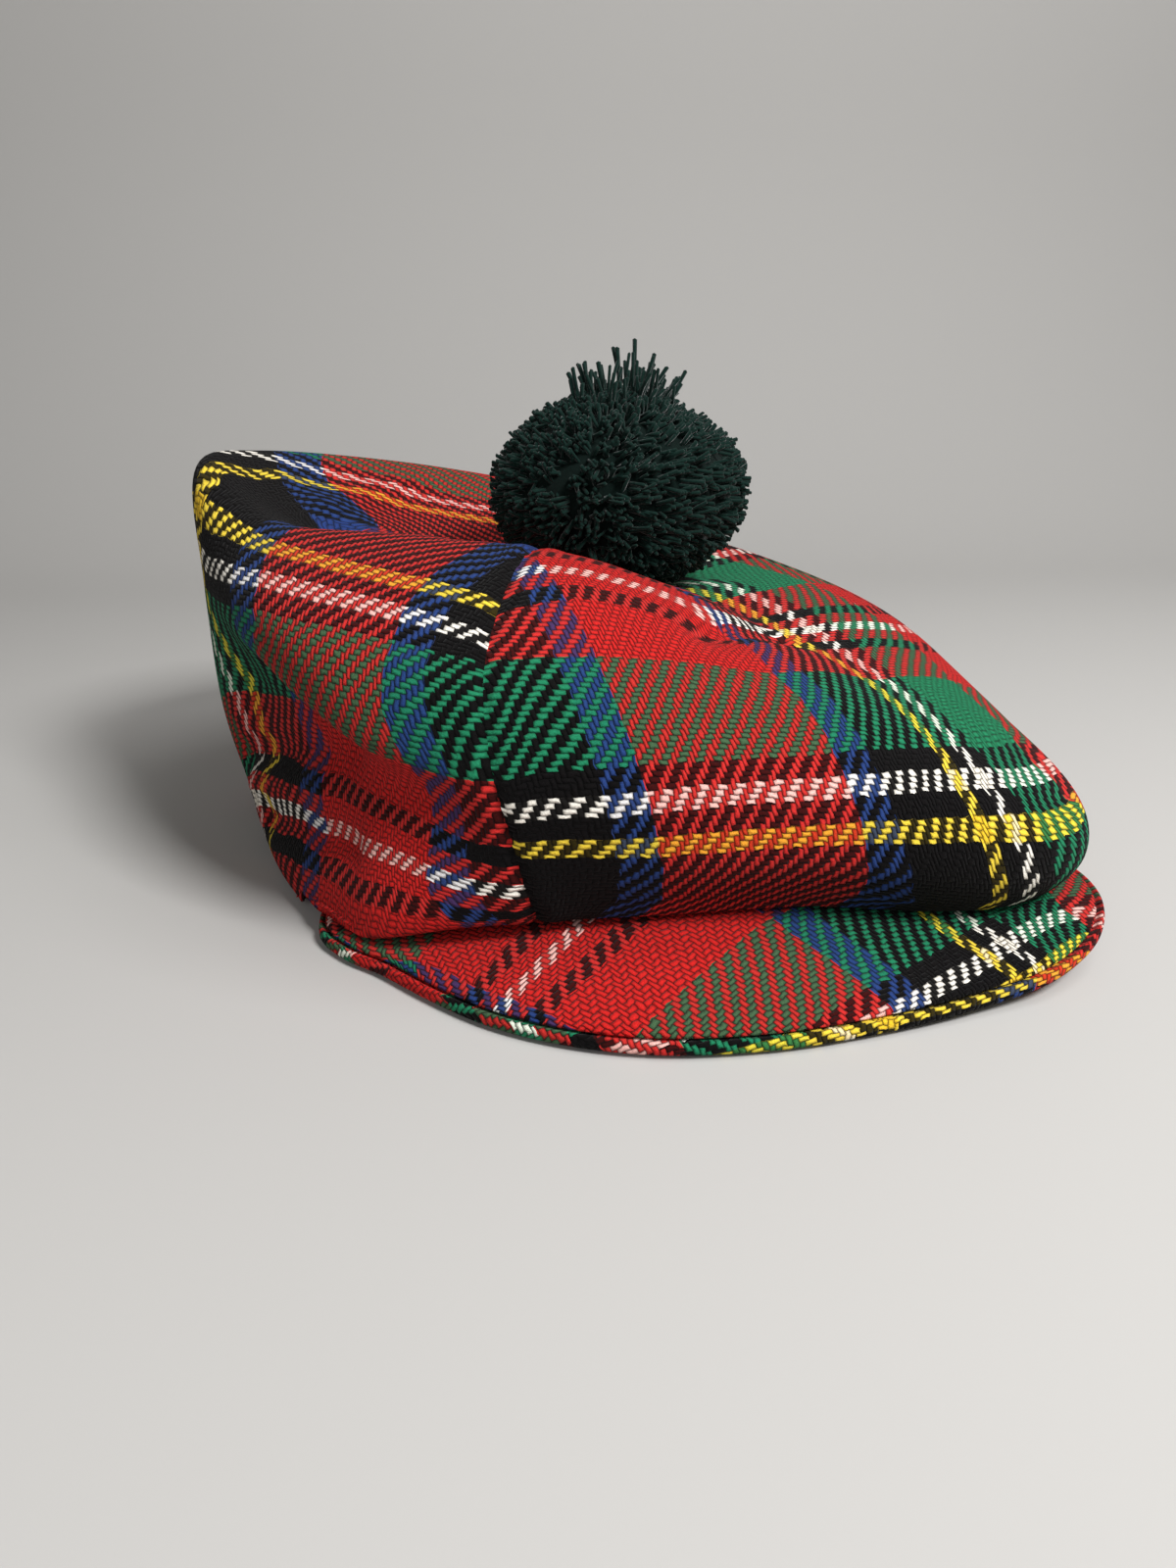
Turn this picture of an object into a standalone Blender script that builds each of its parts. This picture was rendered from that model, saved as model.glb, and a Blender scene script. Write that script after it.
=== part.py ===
"""Soft tartan cap with a short peak and a yarn pompom, lying as it does on a table.

The crown is one hollow cloth shell, flopped towards the wearer's right with its back
rim standing up. The front is -Y, the table is z = 0, and lengths are metres.
"""
from collections import namedtuple
from math import acos, atan2, cos, degrees, exp, hypot, pi, radians, sin, sqrt

import bmesh
import bpy
from mathutils import Vector

# Cloth and clearances
CROWN_CLOTH = 0.0020
BAND_CLOTH = 0.0020
PEAK_COVER = 0.0018
GAP = 0.0003
CROWN_OVER_PEAK = 0.0018

# Head opening and band
HEAD_WIDTH = 0.156
HEAD_LENGTH = 0.192
BAND_HEIGHT = 0.026
BAND_FRONT_RISE = 0.017
BAND_RISE_START = 0.2
CROWN_SEAT = 0.0065

# Crown
CROWN_REACH = 0.120
CROWN_HEIGHT = 0.112
CROWN_SHIFT_X = -0.028
CROWN_SHIFT_Y = -0.004
APEX_HEIGHT = 0.071
APEX_SHIFT_X = 0.013
APEX_SHIFT_Y = 0.003
APEX_FLAT_RADIUS = 0.009
SEAM_AZIMUTH = -6.0
SEAM_TWIST = -2.2
SEAM_DEPTH = 0.0010
CROWN_SEGMENTS = 54
CROWN_RINGS = 29
CROWN_STEP = 360 / CROWN_SEGMENTS
NORMAL_STEP_ROUND = 1.0
NORMAL_STEP_UP = 0.05
PLAIN_TOP_LEVELS = 1.5

# Peak
PEAK_DEPTH = 0.058
PEAK_FILLING = 0.0004
PEAK_SEAT = 0.0032
PEAK_END_LIFT = 0.012
PEAK_HALF_SPREAD = 67.0
PEAK_MARGIN = 0.012
PEAK_FALL_POWER = 0.85
PEAK_LEAST_REACH = 3 * PEAK_COVER
PEAK_SHARP_ANGLE = 50.0
PEAK_STEPS_ROUND = 36
PEAK_STEPS_ACROSS = 6

# Pompom
POMPOM_WIDTH = 0.078
POMPOM_DEPTH = 0.074
POMPOM_HEIGHT = 0.060
POMPOM_NECK_RADIUS = 0.006
POMPOM_NECK_HEIGHT = 0.004
LOCK_COUNT = 64
LOCK_RADIUS = 0.0090
LOCK_LENGTH = 0.020
LOCK_SIDES = 6
LOCK_ROOT_SHARE = 0.55
LOCK_TIP_SHARE = 0.8
LOWEST_LOCK = -0.75
BALL_SUBDIVISIONS = 3
TUFT_LOCK_RADIUS = 0.0030
TUFT_REACH = 0.014
TUFT_TIP_SHARE = 0.4

# Height of the peak's edge, both covers with what lies between them
PEAK_THICKNESS = 2 * PEAK_COVER + PEAK_FILLING

# Crown sections, one row for each azimuth from the front (positive towards +X).
# A pair is the reach from the crown's middle as a share of CROWN_REACH and the height
# as a share of CROWN_HEIGHT, from the turned-under hem up and over to the pompom.
CrownSection = namedtuple("CrownSection", "azimuth under low waist rim shoulder top dip")
CROWN_SECTIONS = (
    CrownSection(-150, (.80, .03), (.88, .11), (.97, .38), (1.05, .68), (1.00, .95), (.73, .85), (.33, .72)),
    CrownSection(-120, (.79, .03), (.91, .11), (.98, .38), (1.03, .71), (1.0, 1.02), (.69, .82), (.32, .72)),
    CrownSection(-97, (.78, .02), (.88, .08), (.96, .32), (.97, .71), (.95, 1.02), (.68, .81), (.32, .73)),
    CrownSection(-75, (.76, .02), (.85, .08), (.82, .44), (.90, .70), (.84, .85), (.63, .87), (.31, .72)),
    CrownSection(-55, (.80, .02), (.87, .07), (.81, .46), (.91, .66), (.84, .80), (.53, .88), (.30, .72)),
    CrownSection(-42, (.87, .02), (.92, .06), (.85, .44), (.94, .60), (.87, .76), (.53, .88), (.29, .72)),
    CrownSection(-30, (.92, .07), (.98, .12), (.91, .38), (.97, .54), (.87, .73), (.53, .88), (.28, .72)),
    CrownSection(-17, (.93, .13), (.98, .17), (.98, .34), (.99, .51), (.87, .71), (.53, .87), (.28, .72)),
    CrownSection(0, (.92, .15), (.97, .19), (1.03, .34), (1.01, .52), (.85, .70), (.52, .83), (.27, .71)),
    CrownSection(22.5, (.97, .14), (1.03, .18), (1.12, .31), (1.08, .49), (.90, .65), (.57, .74), (.24, .72)),
    CrownSection(45, (1.13, .09), (1.25, .11), (1.34, .23), (1.29, .37), (1.06, .515), (.65, .63), (.23, .68)),
    CrownSection(67.5, (1.03, .06), (1.14, .09), (1.21, .21), (1.15, .35), (.95, .515), (.63, .64), (.23, .68)),
    CrownSection(90, (.96, .05), (1.03, .10), (1.08, .22), (1.05, .37), (.92, .54), (.62, .66), (.23, .68)),
    CrownSection(120, (.92, .04), (1.01, .10), (1.06, .26), (1.06, .43), (.94, .59), (.63, .69), (.25, .68)),
    CrownSection(150, (.88, .04), (.97, .11), (1.02, .30), (1.03, .52), (.93, .71), (.67, .75), (.27, .70)),
    CrownSection(180, (.84, .03), (.92, .11), (.98, .34), (1.03, .61), (.97, .84), (.70, .83), (.28, .71)),
)
CROWN_LEVELS = len(CrownSection._fields) + 1
# Share of the apex's shift that each column's middle takes
APEX_PULL = (0, 0, 0, 0, 0, .30, 1.0)
# Least distance of each column outside the band, as a share of BAND_HEIGHT
BAND_OUTSET = (.22, .42, .50, .50, 0, 0, 0)

# Folds pressed into the crown, each along a short line on it. A place is an azimuth
# and a level, 0 at the hem and one more at each column of the section table. Width and
# depth are shares of CROWN_REACH, and a negative depth is a dent.
Fold = namedtuple("Fold", "start end width depth")
CROWN_FOLDS = (
    Fold((-86, 2.60), (-40, 3.05), .050, -.026),
    Fold((-80, 2.42), (-48, 2.70), .050, .022),
    Fold((-72, 2.20), (-38, 2.50), .045, -.026),
    Fold((-60, 3.50), (-22, 3.45), .060, -.020),
    Fold((15, 5.40), (37, 5.90), .045, -.022),
    Fold((-150, 5.60), (-118, 5.75), .060, .014),
    Fold((150, 5.50), (120, 5.00), .090, -.020),
)

# Outline of the peak past the band, one row for each azimuth from the front. Reach is a
# share of PEAK_DEPTH and lift a share of PEAK_END_LIFT.
PeakSection = namedtuple("PeakSection", "azimuth reach lift")
PEAK_SECTIONS = (
    PeakSection(-67, .06, 0.0),
    PeakSection(-58, .60, 0.0),
    PeakSection(-50, .86, 0.0),
    PeakSection(-44, .90, 0.0),
    PeakSection(-38, .88, 0.0),
    PeakSection(-32, .91, 0.0),
    PeakSection(-22, .98, 0.0),
    PeakSection(-11, 1.0, 0.0),
    PeakSection(0, .97, 0.0),
    PeakSection(10, .955, .02),
    PeakSection(20, 1.0, .10),
    PeakSection(29, 1.09, .30),
    PeakSection(37, 1.10, .60),
    PeakSection(45, .97, .72),
    PeakSection(53, .68, .66),
    PeakSection(60, .34, .52),
    PeakSection(67, .06, .40),
)

# Loose yarn ends that stand up out of the pompom: azimuth and tilt in degrees, and
# length as a share of TUFT_REACH.
TuftLock = namedtuple("TuftLock", "azimuth tilt length")
TUFT_LOCKS = (
    TuftLock(-60, 6, .75),
    TuftLock(60, 12, 1.0),
    TuftLock(100, 26, .90),
    TuftLock(40, 26, .80),
    TuftLock(150, 18, .85),
    TuftLock(92, 40, .60),
)


def clear_scene():
    """Remove what is in the file, so the script can be run again."""
    for old in list(bpy.data.objects):
        bpy.data.objects.remove(old, do_unlink=True)


def make_collection(name):
    """Return a new collection linked to the scene."""
    group = bpy.data.collections.new(name)
    bpy.context.scene.collection.children.link(group)
    return group


def make_material(name, color, roughness):
    """Return a plain cloth or yarn material."""
    material = bpy.data.materials.new(name)
    material.use_nodes = True
    shader = material.node_tree.nodes["Principled BSDF"]
    shader.inputs["Base Color"].default_value = (*color, 1.0)
    shader.inputs["Roughness"].default_value = roughness
    shader.inputs["Metallic"].default_value = 0.0
    return material


def blend(before, start, end, after, share):
    """Catmull-Rom curve through start and end, also for vectors."""
    return 0.5 * (
        2 * start
        + (end - before) * share
        + (2 * before - 5 * start + 4 * end - after) * share**2
        + (3 * start - before - 3 * end + after) * share**3
    )


def ease(share):
    """Smooth step from 0 to 1."""
    share = min(max(share, 0.0), 1.0)
    return share * share * (3 - 2 * share)


def azimuth_between(azimuth, rows):
    """Return four neighbouring rows, unwrapped azimuths and the share between them."""
    count = len(rows)
    azimuth = (azimuth - rows[0].azimuth) % 360 + rows[0].azimuth
    index = max(i for i in range(count) if rows[i].azimuth <= azimuth)
    picked = []
    for step in (-1, 0, 1, 2):
        turn, place = divmod(index + step, count)
        picked.append((rows[place].azimuth + 360 * turn, rows[place]))
    span = picked[2][0] - picked[1][0]
    return picked, (azimuth - picked[1][0]) / span


def hermite_value(picked, values, share):
    """Cubic through the two middle values with slopes from their neighbours."""
    angles = [angle for angle, _ in picked]
    span = angles[2] - angles[1]
    slope_start = (values[2] - values[0]) / (angles[2] - angles[0]) * span
    slope_end = (values[3] - values[1]) / (angles[3] - angles[1]) * span
    square = share * share
    cube = square * share
    return (
        (2 * cube - 3 * square + 1) * values[1]
        + (cube - 2 * square + share) * slope_start
        + (3 * square - 2 * cube) * values[2]
        + (cube - square) * slope_end
    )


def opening_point(azimuth, outset):
    """Point on the head opening, moved outwards from its inner face, at z = 0."""
    turn = radians(azimuth)
    return Vector((
        (HEAD_WIDTH / 2 + outset) * sin(turn),
        -(HEAD_LENGTH / 2 + outset) * cos(turn),
        0.0,
    ))


def band_bottom(azimuth):
    """Height of the band's lower edge, which climbs over the peak at the front."""
    frontness = (cos(radians(azimuth)) - BAND_RISE_START) / (1 - BAND_RISE_START)
    return BAND_FRONT_RISE * ease(frontness)


def band_reach(azimuth):
    """Distance from the opening's middle to the band's outer face, along an azimuth."""
    turn = radians(azimuth)
    half_width = HEAD_WIDTH / 2 + BAND_CLOTH
    half_length = HEAD_LENGTH / 2 + BAND_CLOTH
    return 1 / sqrt((sin(turn) / half_width) ** 2 + (cos(turn) / half_length) ** 2)


def peak_row(azimuth):
    """Reach past the band and lift of the peak's edge at an azimuth."""
    rows = PEAK_SECTIONS
    azimuth = min(max(azimuth, rows[0].azimuth), rows[-1].azimuth)
    index = max(i for i in range(len(rows) - 1) if rows[i].azimuth <= azimuth)
    picked = []
    for step in (-1, 0, 1, 2):
        row = rows[min(max(index + step, 0), len(rows) - 1)]
        picked.append((row.azimuth, row))
    span = picked[2][0] - picked[1][0]
    share = (azimuth - picked[1][0]) / span
    reach = hermite_value(picked, [row.reach for _, row in picked], share)
    lift = hermite_value(picked, [row.lift for _, row in picked], share)
    return reach * PEAK_DEPTH, max(lift, 0.0) * PEAK_END_LIFT


def peak_height(azimuth, share):
    """Height of the peak's top face, share 0 at the rim and 1 at the band."""
    reach, lift = peak_row(azimuth)
    seat = band_bottom(azimuth) + PEAK_SEAT
    fall = (seat - PEAK_THICKNESS - lift) * ease(2 * reach / PEAK_DEPTH)
    return seat - fall * (1 - share**PEAK_FALL_POWER)


def peak_height_below(x, y):
    """Height of the peak's top face under a place, or zero where there is none."""
    azimuth = degrees(atan2(x, -y))
    outside = hypot(x, y) - band_reach(azimuth)
    reach = peak_row(azimuth)[0]
    if abs(azimuth) > PEAK_HALF_SPREAD + CROWN_STEP or outside > reach + PEAK_MARGIN:
        return 0.0
    share = 1 - outside / max(reach, PEAK_MARGIN)
    return peak_height(azimuth, min(max(share, 0.0), 1.0))


def section_pairs(azimuth):
    """Reach and height of every column of the section table at an azimuth."""
    picked, share = azimuth_between(azimuth, CROWN_SECTIONS)
    pairs = []
    for column in range(1, len(CrownSection._fields)):
        reach = hermite_value(picked, [row[column][0] for _, row in picked], share)
        height = hermite_value(picked, [row[column][1] for _, row in picked], share)
        pairs.append((reach * CROWN_REACH, height * CROWN_HEIGHT))
    return pairs


def keep_outside_band(point, outset):
    """Move a point of the crown outwards where the band would touch it."""
    reach = hypot(point.x, point.y)
    least = band_reach(degrees(atan2(point.x, -point.y))) + outset
    if reach < least:
        point.x *= least / reach
        point.y *= least / reach


def apex_point():
    """Middle of the crown's top, where its panels and the pompom meet."""
    return Vector((
        CROWN_SHIFT_X + APEX_SHIFT_X, CROWN_SHIFT_Y + APEX_SHIFT_Y, APEX_HEIGHT))


def crown_profile(azimuth):
    """Points of one section from the hem to the apex."""
    turn = radians(azimuth)
    hem = opening_point(azimuth, BAND_CLOTH + GAP)
    hem.z = band_bottom(azimuth) + CROWN_SEAT
    points = [hem]
    for column, (reach, height) in enumerate(section_pairs(azimuth)):
        pull = APEX_PULL[column]
        x = CROWN_SHIFT_X + pull * APEX_SHIFT_X + reach * sin(turn)
        y = CROWN_SHIFT_Y + pull * APEX_SHIFT_Y - reach * cos(turn)
        point = Vector((x, y, height))
        if BAND_OUTSET[column]:
            keep_outside_band(point, BAND_OUTSET[column] * BAND_HEIGHT)
        points.append(point)
    flat = Vector((sin(turn), -cos(turn), 0.0)) * APEX_FLAT_RADIUS
    points.append(apex_point() + flat)
    points.append(apex_point())
    return points


def seam_azimuth(level):
    """Azimuth of the middle seam, which slants as it climbs to the pompom."""
    return SEAM_AZIMUTH + SEAM_TWIST * min(level, CROWN_LEVELS - 2)


def crown_base_point(azimuth, level):
    """Point on the crown's outer face before its folds."""
    points = crown_profile(azimuth)
    last = len(points) - 1
    index = min(int(level), last - 1)
    start = points[index]
    end = points[index + 1]
    before = points[index - 1] if index > 0 else 2 * start - end
    after = points[index + 2] if index + 2 <= last else 2 * end - start
    point = blend(before, start, end, after, level - index)
    floor = peak_height_below(point.x, point.y) + CROWN_OVER_PEAK
    point.z = max(point.z, floor)
    return point


def crown_normal(azimuth, level):
    """Outward direction of the crown's outer face."""
    turn = NORMAL_STEP_ROUND
    step = NORMAL_STEP_UP
    level = min(max(level, step), CROWN_LEVELS - step)
    round_way = crown_base_point(azimuth + turn, level) - crown_base_point(azimuth - turn, level)
    up_way = crown_base_point(azimuth, level + step) - crown_base_point(azimuth, level - step)
    return round_way.cross(up_way).normalized()


def distance_to_line(point, start, end):
    """Distance from a point to the stretch between two others."""
    along = end - start
    share = (point - start).dot(along) / along.length_squared
    share = min(max(share, 0.0), 1.0)
    return (point - start - along * share).length


def crown_point(azimuth, level, fold_lines):
    """Point on the crown's outer face with its folds and its seam."""
    point = crown_base_point(azimuth, level)
    if level < 1 or level > CROWN_LEVELS - PLAIN_TOP_LEVELS:
        return point
    push = 0.0
    for fold, start, end in fold_lines:
        width = fold.width * CROWN_REACH
        distance = distance_to_line(point, start, end)
        push += fold.depth * CROWN_REACH * exp(-((distance / width) ** 2))
    off_seam = abs((azimuth - seam_azimuth(level) + 90) % 180 - 90)
    if off_seam < CROWN_STEP / 2:
        push -= SEAM_DEPTH
    point = point + crown_normal(azimuth, level) * push
    point.z = max(point.z, peak_height_below(point.x, point.y) + CROWN_OVER_PEAK)
    return point


def find_fold_lines():
    """Ends of each fold in space."""
    lines = []
    for fold in CROWN_FOLDS:
        lines.append((fold, crown_base_point(*fold.start), crown_base_point(*fold.end)))
    return lines


def add_primitive(name, group, material):
    """Name the primitive just added, move it to its collection and give it a material."""
    piece = bpy.context.object
    piece.name = name
    piece.data.name = name
    for owner in list(piece.users_collection):
        owner.objects.unlink(piece)
    group.objects.link(piece)
    piece.data.materials.append(material)
    return piece


def add_solidify(piece, thickness, offset):
    """Give an open sheet its thickness."""
    wall = piece.modifiers.new("Cloth", "SOLIDIFY")
    wall.thickness = thickness
    wall.offset = offset
    wall.use_even_offset = False


def make_crown(group, material):
    """Hollow crown: a ball whose rings are moved to the section table's levels."""
    bpy.ops.mesh.primitive_uv_sphere_add(
        segments=CROWN_SEGMENTS, ring_count=CROWN_RINGS, radius=1.0)
    crown = add_primitive("crown", group, material)
    fold_lines = find_fold_lines()
    mesh = bmesh.new()
    mesh.from_mesh(crown.data)
    south = min(mesh.verts, key=lambda vert: vert.co.z)
    bmesh.ops.delete(mesh, geom=[south], context="VERTS")
    for vert in mesh.verts:
        ring = round(acos(min(max(vert.co.z, -1.0), 1.0)) / pi * CROWN_RINGS)
        level = CROWN_LEVELS * (1 - ring / (CROWN_RINGS - 1))
        azimuth = degrees(atan2(vert.co.x, -vert.co.y)) + seam_azimuth(level)
        vert.co = crown_point(azimuth, level, fold_lines)
    bmesh.ops.recalc_face_normals(mesh, faces=mesh.faces)
    mesh.to_mesh(crown.data)
    mesh.free()
    add_solidify(crown, CROWN_CLOTH, -1.0)
    crown.data.shade_smooth()
    return crown


def make_band(group, material):
    """Head band: an open ring inside the crown's hem, standing on the table at the back."""
    bpy.ops.mesh.primitive_cylinder_add(
        vertices=CROWN_SEGMENTS, radius=1.0, depth=2.0, end_fill_type="NOTHING")
    band = add_primitive("head_band", group, material)
    for vert in band.data.vertices:
        azimuth = degrees(atan2(vert.co.x, -vert.co.y)) + seam_azimuth(0)
        top = vert.co.z > 0
        vert.co = opening_point(azimuth, BAND_CLOTH)
        vert.co.z = band_bottom(azimuth) + (BAND_HEIGHT if top else 0.0)
    add_solidify(band, BAND_CLOTH, -1.0)
    band.data.shade_smooth()
    return band


def peak_point(azimuth, inset, share, drop):
    """Point on the peak. Share runs from 0 at the inset from its rim to 1 at the band."""
    turn = radians(azimuth)
    inner = band_reach(azimuth) + GAP
    reach = max(peak_row(azimuth)[0], PEAK_LEAST_REACH)
    outer = band_reach(azimuth) + reach - inset
    place = outer + (inner - outer) * share
    height = peak_height(azimuth, (outer + inset - place) / reach) - drop
    return Vector((place * sin(turn), -place * cos(turn), height))


def make_peak_cover(name, group, material, rows, base_drop):
    """One cover of the peak, a grid bent over it and extruded down to its lower face.

    A row of the grid is its inset from the rim, its share of the way to the band and
    its drop below the peak's top face.
    """
    bpy.ops.mesh.primitive_grid_add(
        x_subdivisions=PEAK_STEPS_ROUND, y_subdivisions=len(rows) - 1, size=2.0)
    cover = add_primitive(name, group, material)
    mesh = bmesh.new()
    mesh.from_mesh(cover.data)
    lower = bmesh.ops.extrude_face_region(mesh, geom=mesh.faces[:])["geom"]
    lower = {item for item in lower if isinstance(item, bmesh.types.BMVert)}
    for vert in mesh.verts:
        azimuth = vert.co.x * PEAK_HALF_SPREAD
        inset, share, drop = rows[round((vert.co.y + 1) / 2 * (len(rows) - 1))]
        drop = base_drop if vert in lower else drop
        vert.co = peak_point(azimuth, inset, share, drop)
    bmesh.ops.recalc_face_normals(mesh, faces=mesh.faces)
    mesh.to_mesh(cover.data)
    mesh.free()
    cover.data.shade_smooth()
    cover.data.set_sharp_from_angle(angle=radians(PEAK_SHARP_ANGLE))
    return cover


def make_peak(group, material):
    """Top cover, and under cover whose edge is rolled up round the rim."""
    inset = PEAK_COVER + GAP
    shares = [step / PEAK_STEPS_ACROSS for step in range(PEAK_STEPS_ACROSS + 1)]
    top_rows = [(inset, share, 0.0) for share in shares]
    make_peak_cover("peak_top", group, material, top_rows, PEAK_COVER)
    inner_drop = PEAK_THICKNESS - PEAK_COVER
    under_rows = [(0.0, 0.0, 0.0), (PEAK_COVER - GAP, 0.0, 0.0)]
    under_rows += [(PEAK_COVER, share, inner_drop) for share in shares]
    make_peak_cover("peak_under", group, material, under_rows, PEAK_THICKNESS)


def join_lock(ball, cutters, name, place, aim, size):
    """Fuse one lock of yarn, a blunt cone, to the ball."""
    start_radius, end_radius, length = size
    bpy.ops.mesh.primitive_cone_add(
        vertices=LOCK_SIDES, radius1=start_radius, radius2=end_radius, depth=length)
    lock = bpy.context.object
    lock.name = name
    for owner in list(lock.users_collection):
        owner.objects.unlink(lock)
    cutters.objects.link(lock)
    lock.rotation_mode = "QUATERNION"
    lock.rotation_quaternion = aim.to_track_quat("Z", "Y")
    lock.location = place
    lock.hide_render = True
    lock.display_type = "WIRE"
    union = ball.modifiers.new(name, "BOOLEAN")
    union.operation = "UNION"
    union.solver = "EXACT"
    union.object = lock


def make_pompom(group, cutters, material):
    """Ball of yarn locks on a short neck, with a tuft of loose ends on top."""
    radii = Vector((POMPOM_WIDTH / 2, POMPOM_DEPTH / 2, POMPOM_HEIGHT / 2))
    foot = apex_point() + Vector((0, 0, GAP))
    centre = foot + Vector((0, 0, POMPOM_NECK_HEIGHT + radii.z))
    bpy.ops.mesh.primitive_ico_sphere_add(subdivisions=BALL_SUBDIVISIONS, radius=1.0)
    ball = add_primitive("pompom", group, material)
    for vert in ball.data.vertices:
        direction = vert.co.copy()
        vert.co = Vector([direction[i] * (radii[i] - LOCK_RADIUS / 2) for i in range(3)])
        vert.co += centre
    golden = pi * (3 - sqrt(5))
    for index in range(LOCK_COUNT):
        height = 1 - 2 * (index + 0.5) / LOCK_COUNT
        if height < LOWEST_LOCK:
            continue
        across = sqrt(1 - height * height)
        turn = golden * index
        direction = Vector((across * sin(turn), across * cos(turn), height))
        tip = Vector([direction[i] * radii[i] for i in range(3)])
        place = centre + tip - direction * (LOCK_LENGTH / 2)
        size = (LOCK_RADIUS * LOCK_ROOT_SHARE, LOCK_RADIUS * LOCK_TIP_SHARE, LOCK_LENGTH)
        join_lock(ball, cutters, f"lock_{index:02d}", place, direction, size)
    for index, tuft in enumerate(TUFT_LOCKS):
        tilt = radians(tuft.tilt)
        turn = radians(tuft.azimuth)
        direction = Vector((sin(tilt) * sin(turn), -sin(tilt) * cos(turn), cos(tilt)))
        length = LOCK_LENGTH + tuft.length * TUFT_REACH
        start = Vector([direction[i] * radii[i] for i in range(3)]) - direction * LOCK_LENGTH
        place = centre + start + direction * (length / 2)
        size = (TUFT_LOCK_RADIUS, TUFT_LOCK_RADIUS * TUFT_TIP_SHARE, length)
        join_lock(ball, cutters, f"tuft_{index}", place, direction, size)
    neck_length = POMPOM_NECK_HEIGHT + radii.z
    neck_place = foot + Vector((0, 0, neck_length / 2))
    neck = (POMPOM_NECK_RADIUS, POMPOM_NECK_RADIUS, neck_length)
    join_lock(ball, cutters, "pompom_neck", neck_place, Vector((0, 0, 1)), neck)
    ball.data.shade_smooth()
    return ball


def stand_on_origin(parts, cutters):
    """Hang every piece on an empty that puts the footprint's middle at the origin."""
    bpy.context.view_layer.update()
    graph = bpy.context.evaluated_depsgraph_get()
    corners = []
    for piece in parts:
        shape = piece.evaluated_get(graph)
        corners += [shape.matrix_world @ Vector(corner) for corner in shape.bound_box]
    middle = Vector([(min(c[i] for c in corners) + max(c[i] for c in corners)) / 2
                     for i in range(2)] + [0.0])
    anchor = bpy.data.objects.new("cap_anchor", None)
    bpy.context.scene.collection.objects.link(anchor)
    for piece in list(parts) + list(cutters):
        piece.parent = anchor
    anchor.location = -middle


def main():
    clear_scene()
    cap = make_collection("tartan_cap")
    cutters = make_collection("cutters")
    tartan = make_material("tartan_cloth", (0.42, 0.03, 0.03), 0.92)
    peak_tartan = make_material("peak_cloth", (0.38, 0.03, 0.03), 0.92)
    band_tartan = make_material("band_cloth", (0.25, 0.03, 0.02), 0.92)
    yarn = make_material("green_yarn", (0.010, 0.035, 0.028), 0.95)
    make_crown(cap, tartan)
    make_band(cap, band_tartan)
    make_peak(cap, peak_tartan)
    make_pompom(cap, cutters, yarn)
    stand_on_origin(cap.objects, cutters.objects)


main()
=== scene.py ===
"""Soft tartan cap with a short peak and a yarn pompom, lying on a pale table."""
from collections import namedtuple
from math import cos, hypot, pi, radians, sin, sqrt

import bpy
import numpy as np
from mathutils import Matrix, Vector
from mathutils.bvhtree import BVHTree


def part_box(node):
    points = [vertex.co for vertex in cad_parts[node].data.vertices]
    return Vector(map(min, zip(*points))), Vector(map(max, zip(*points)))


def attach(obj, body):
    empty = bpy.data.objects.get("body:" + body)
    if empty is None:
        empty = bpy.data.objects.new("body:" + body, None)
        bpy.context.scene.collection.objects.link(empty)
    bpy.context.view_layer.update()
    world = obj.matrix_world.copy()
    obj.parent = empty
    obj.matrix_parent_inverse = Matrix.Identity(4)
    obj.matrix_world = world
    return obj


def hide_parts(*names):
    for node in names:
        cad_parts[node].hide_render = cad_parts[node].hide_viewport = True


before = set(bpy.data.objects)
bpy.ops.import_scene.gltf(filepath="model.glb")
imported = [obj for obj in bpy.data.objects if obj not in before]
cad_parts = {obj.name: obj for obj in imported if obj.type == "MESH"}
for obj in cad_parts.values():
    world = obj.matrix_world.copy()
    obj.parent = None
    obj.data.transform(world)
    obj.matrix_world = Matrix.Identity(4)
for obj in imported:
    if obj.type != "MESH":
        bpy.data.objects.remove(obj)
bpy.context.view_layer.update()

# The photograph and its camera, in pixels, degrees and metres
PHOTO_WIDTH = 1200
PHOTO_HEIGHT = 1600
FOCAL_PIXELS = 1202
CAMERA_TILT = 20.0
CAMERA_YAW = 6.0
CAMERA_HEIGHT = 0.145
CAMERA_BACK = 0.372
CAMERA_LEFT = 0.0627
SENSOR = 36.0

# Cloth, the same sizes as in the part
CROWN_CLOTH = 0.0020
BAND_CLOTH = 0.0020
PEAK_COVER = 0.0018
PEAK_FILLING = 0.0004
GAP = 0.0003
CROWN_OVER_PEAK = 0.0018
HEAD_WIDTH = 0.156
HEAD_LENGTH = 0.192
BAND_HEIGHT = 0.026
BAND_FRONT_RISE = 0.017
BAND_RISE_START = 0.2
CROWN_SEAT = 0.0065
CROWN_REACH = 0.120
CROWN_HEIGHT = 0.112
CROWN_SHIFT = np.array([-0.028, -0.004])
APEX_HEIGHT = 0.071
APEX_SHIFT = np.array([0.013, 0.003])
APEX_FLAT_RADIUS = 0.009
SEAM_AZIMUTH = -6.0
SEAM_TWIST = -2.2
PEAK_DEPTH = 0.058
PEAK_SEAT = 0.0032
PEAK_END_LIFT = 0.012
PEAK_HALF_SPREAD = 67.0
PEAK_MARGIN = 0.012
PEAK_FALL_POWER = 0.85
PEAK_LEAST_REACH = 3 * PEAK_COVER
PEAK_THICKNESS = 2 * PEAK_COVER + PEAK_FILLING
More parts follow.
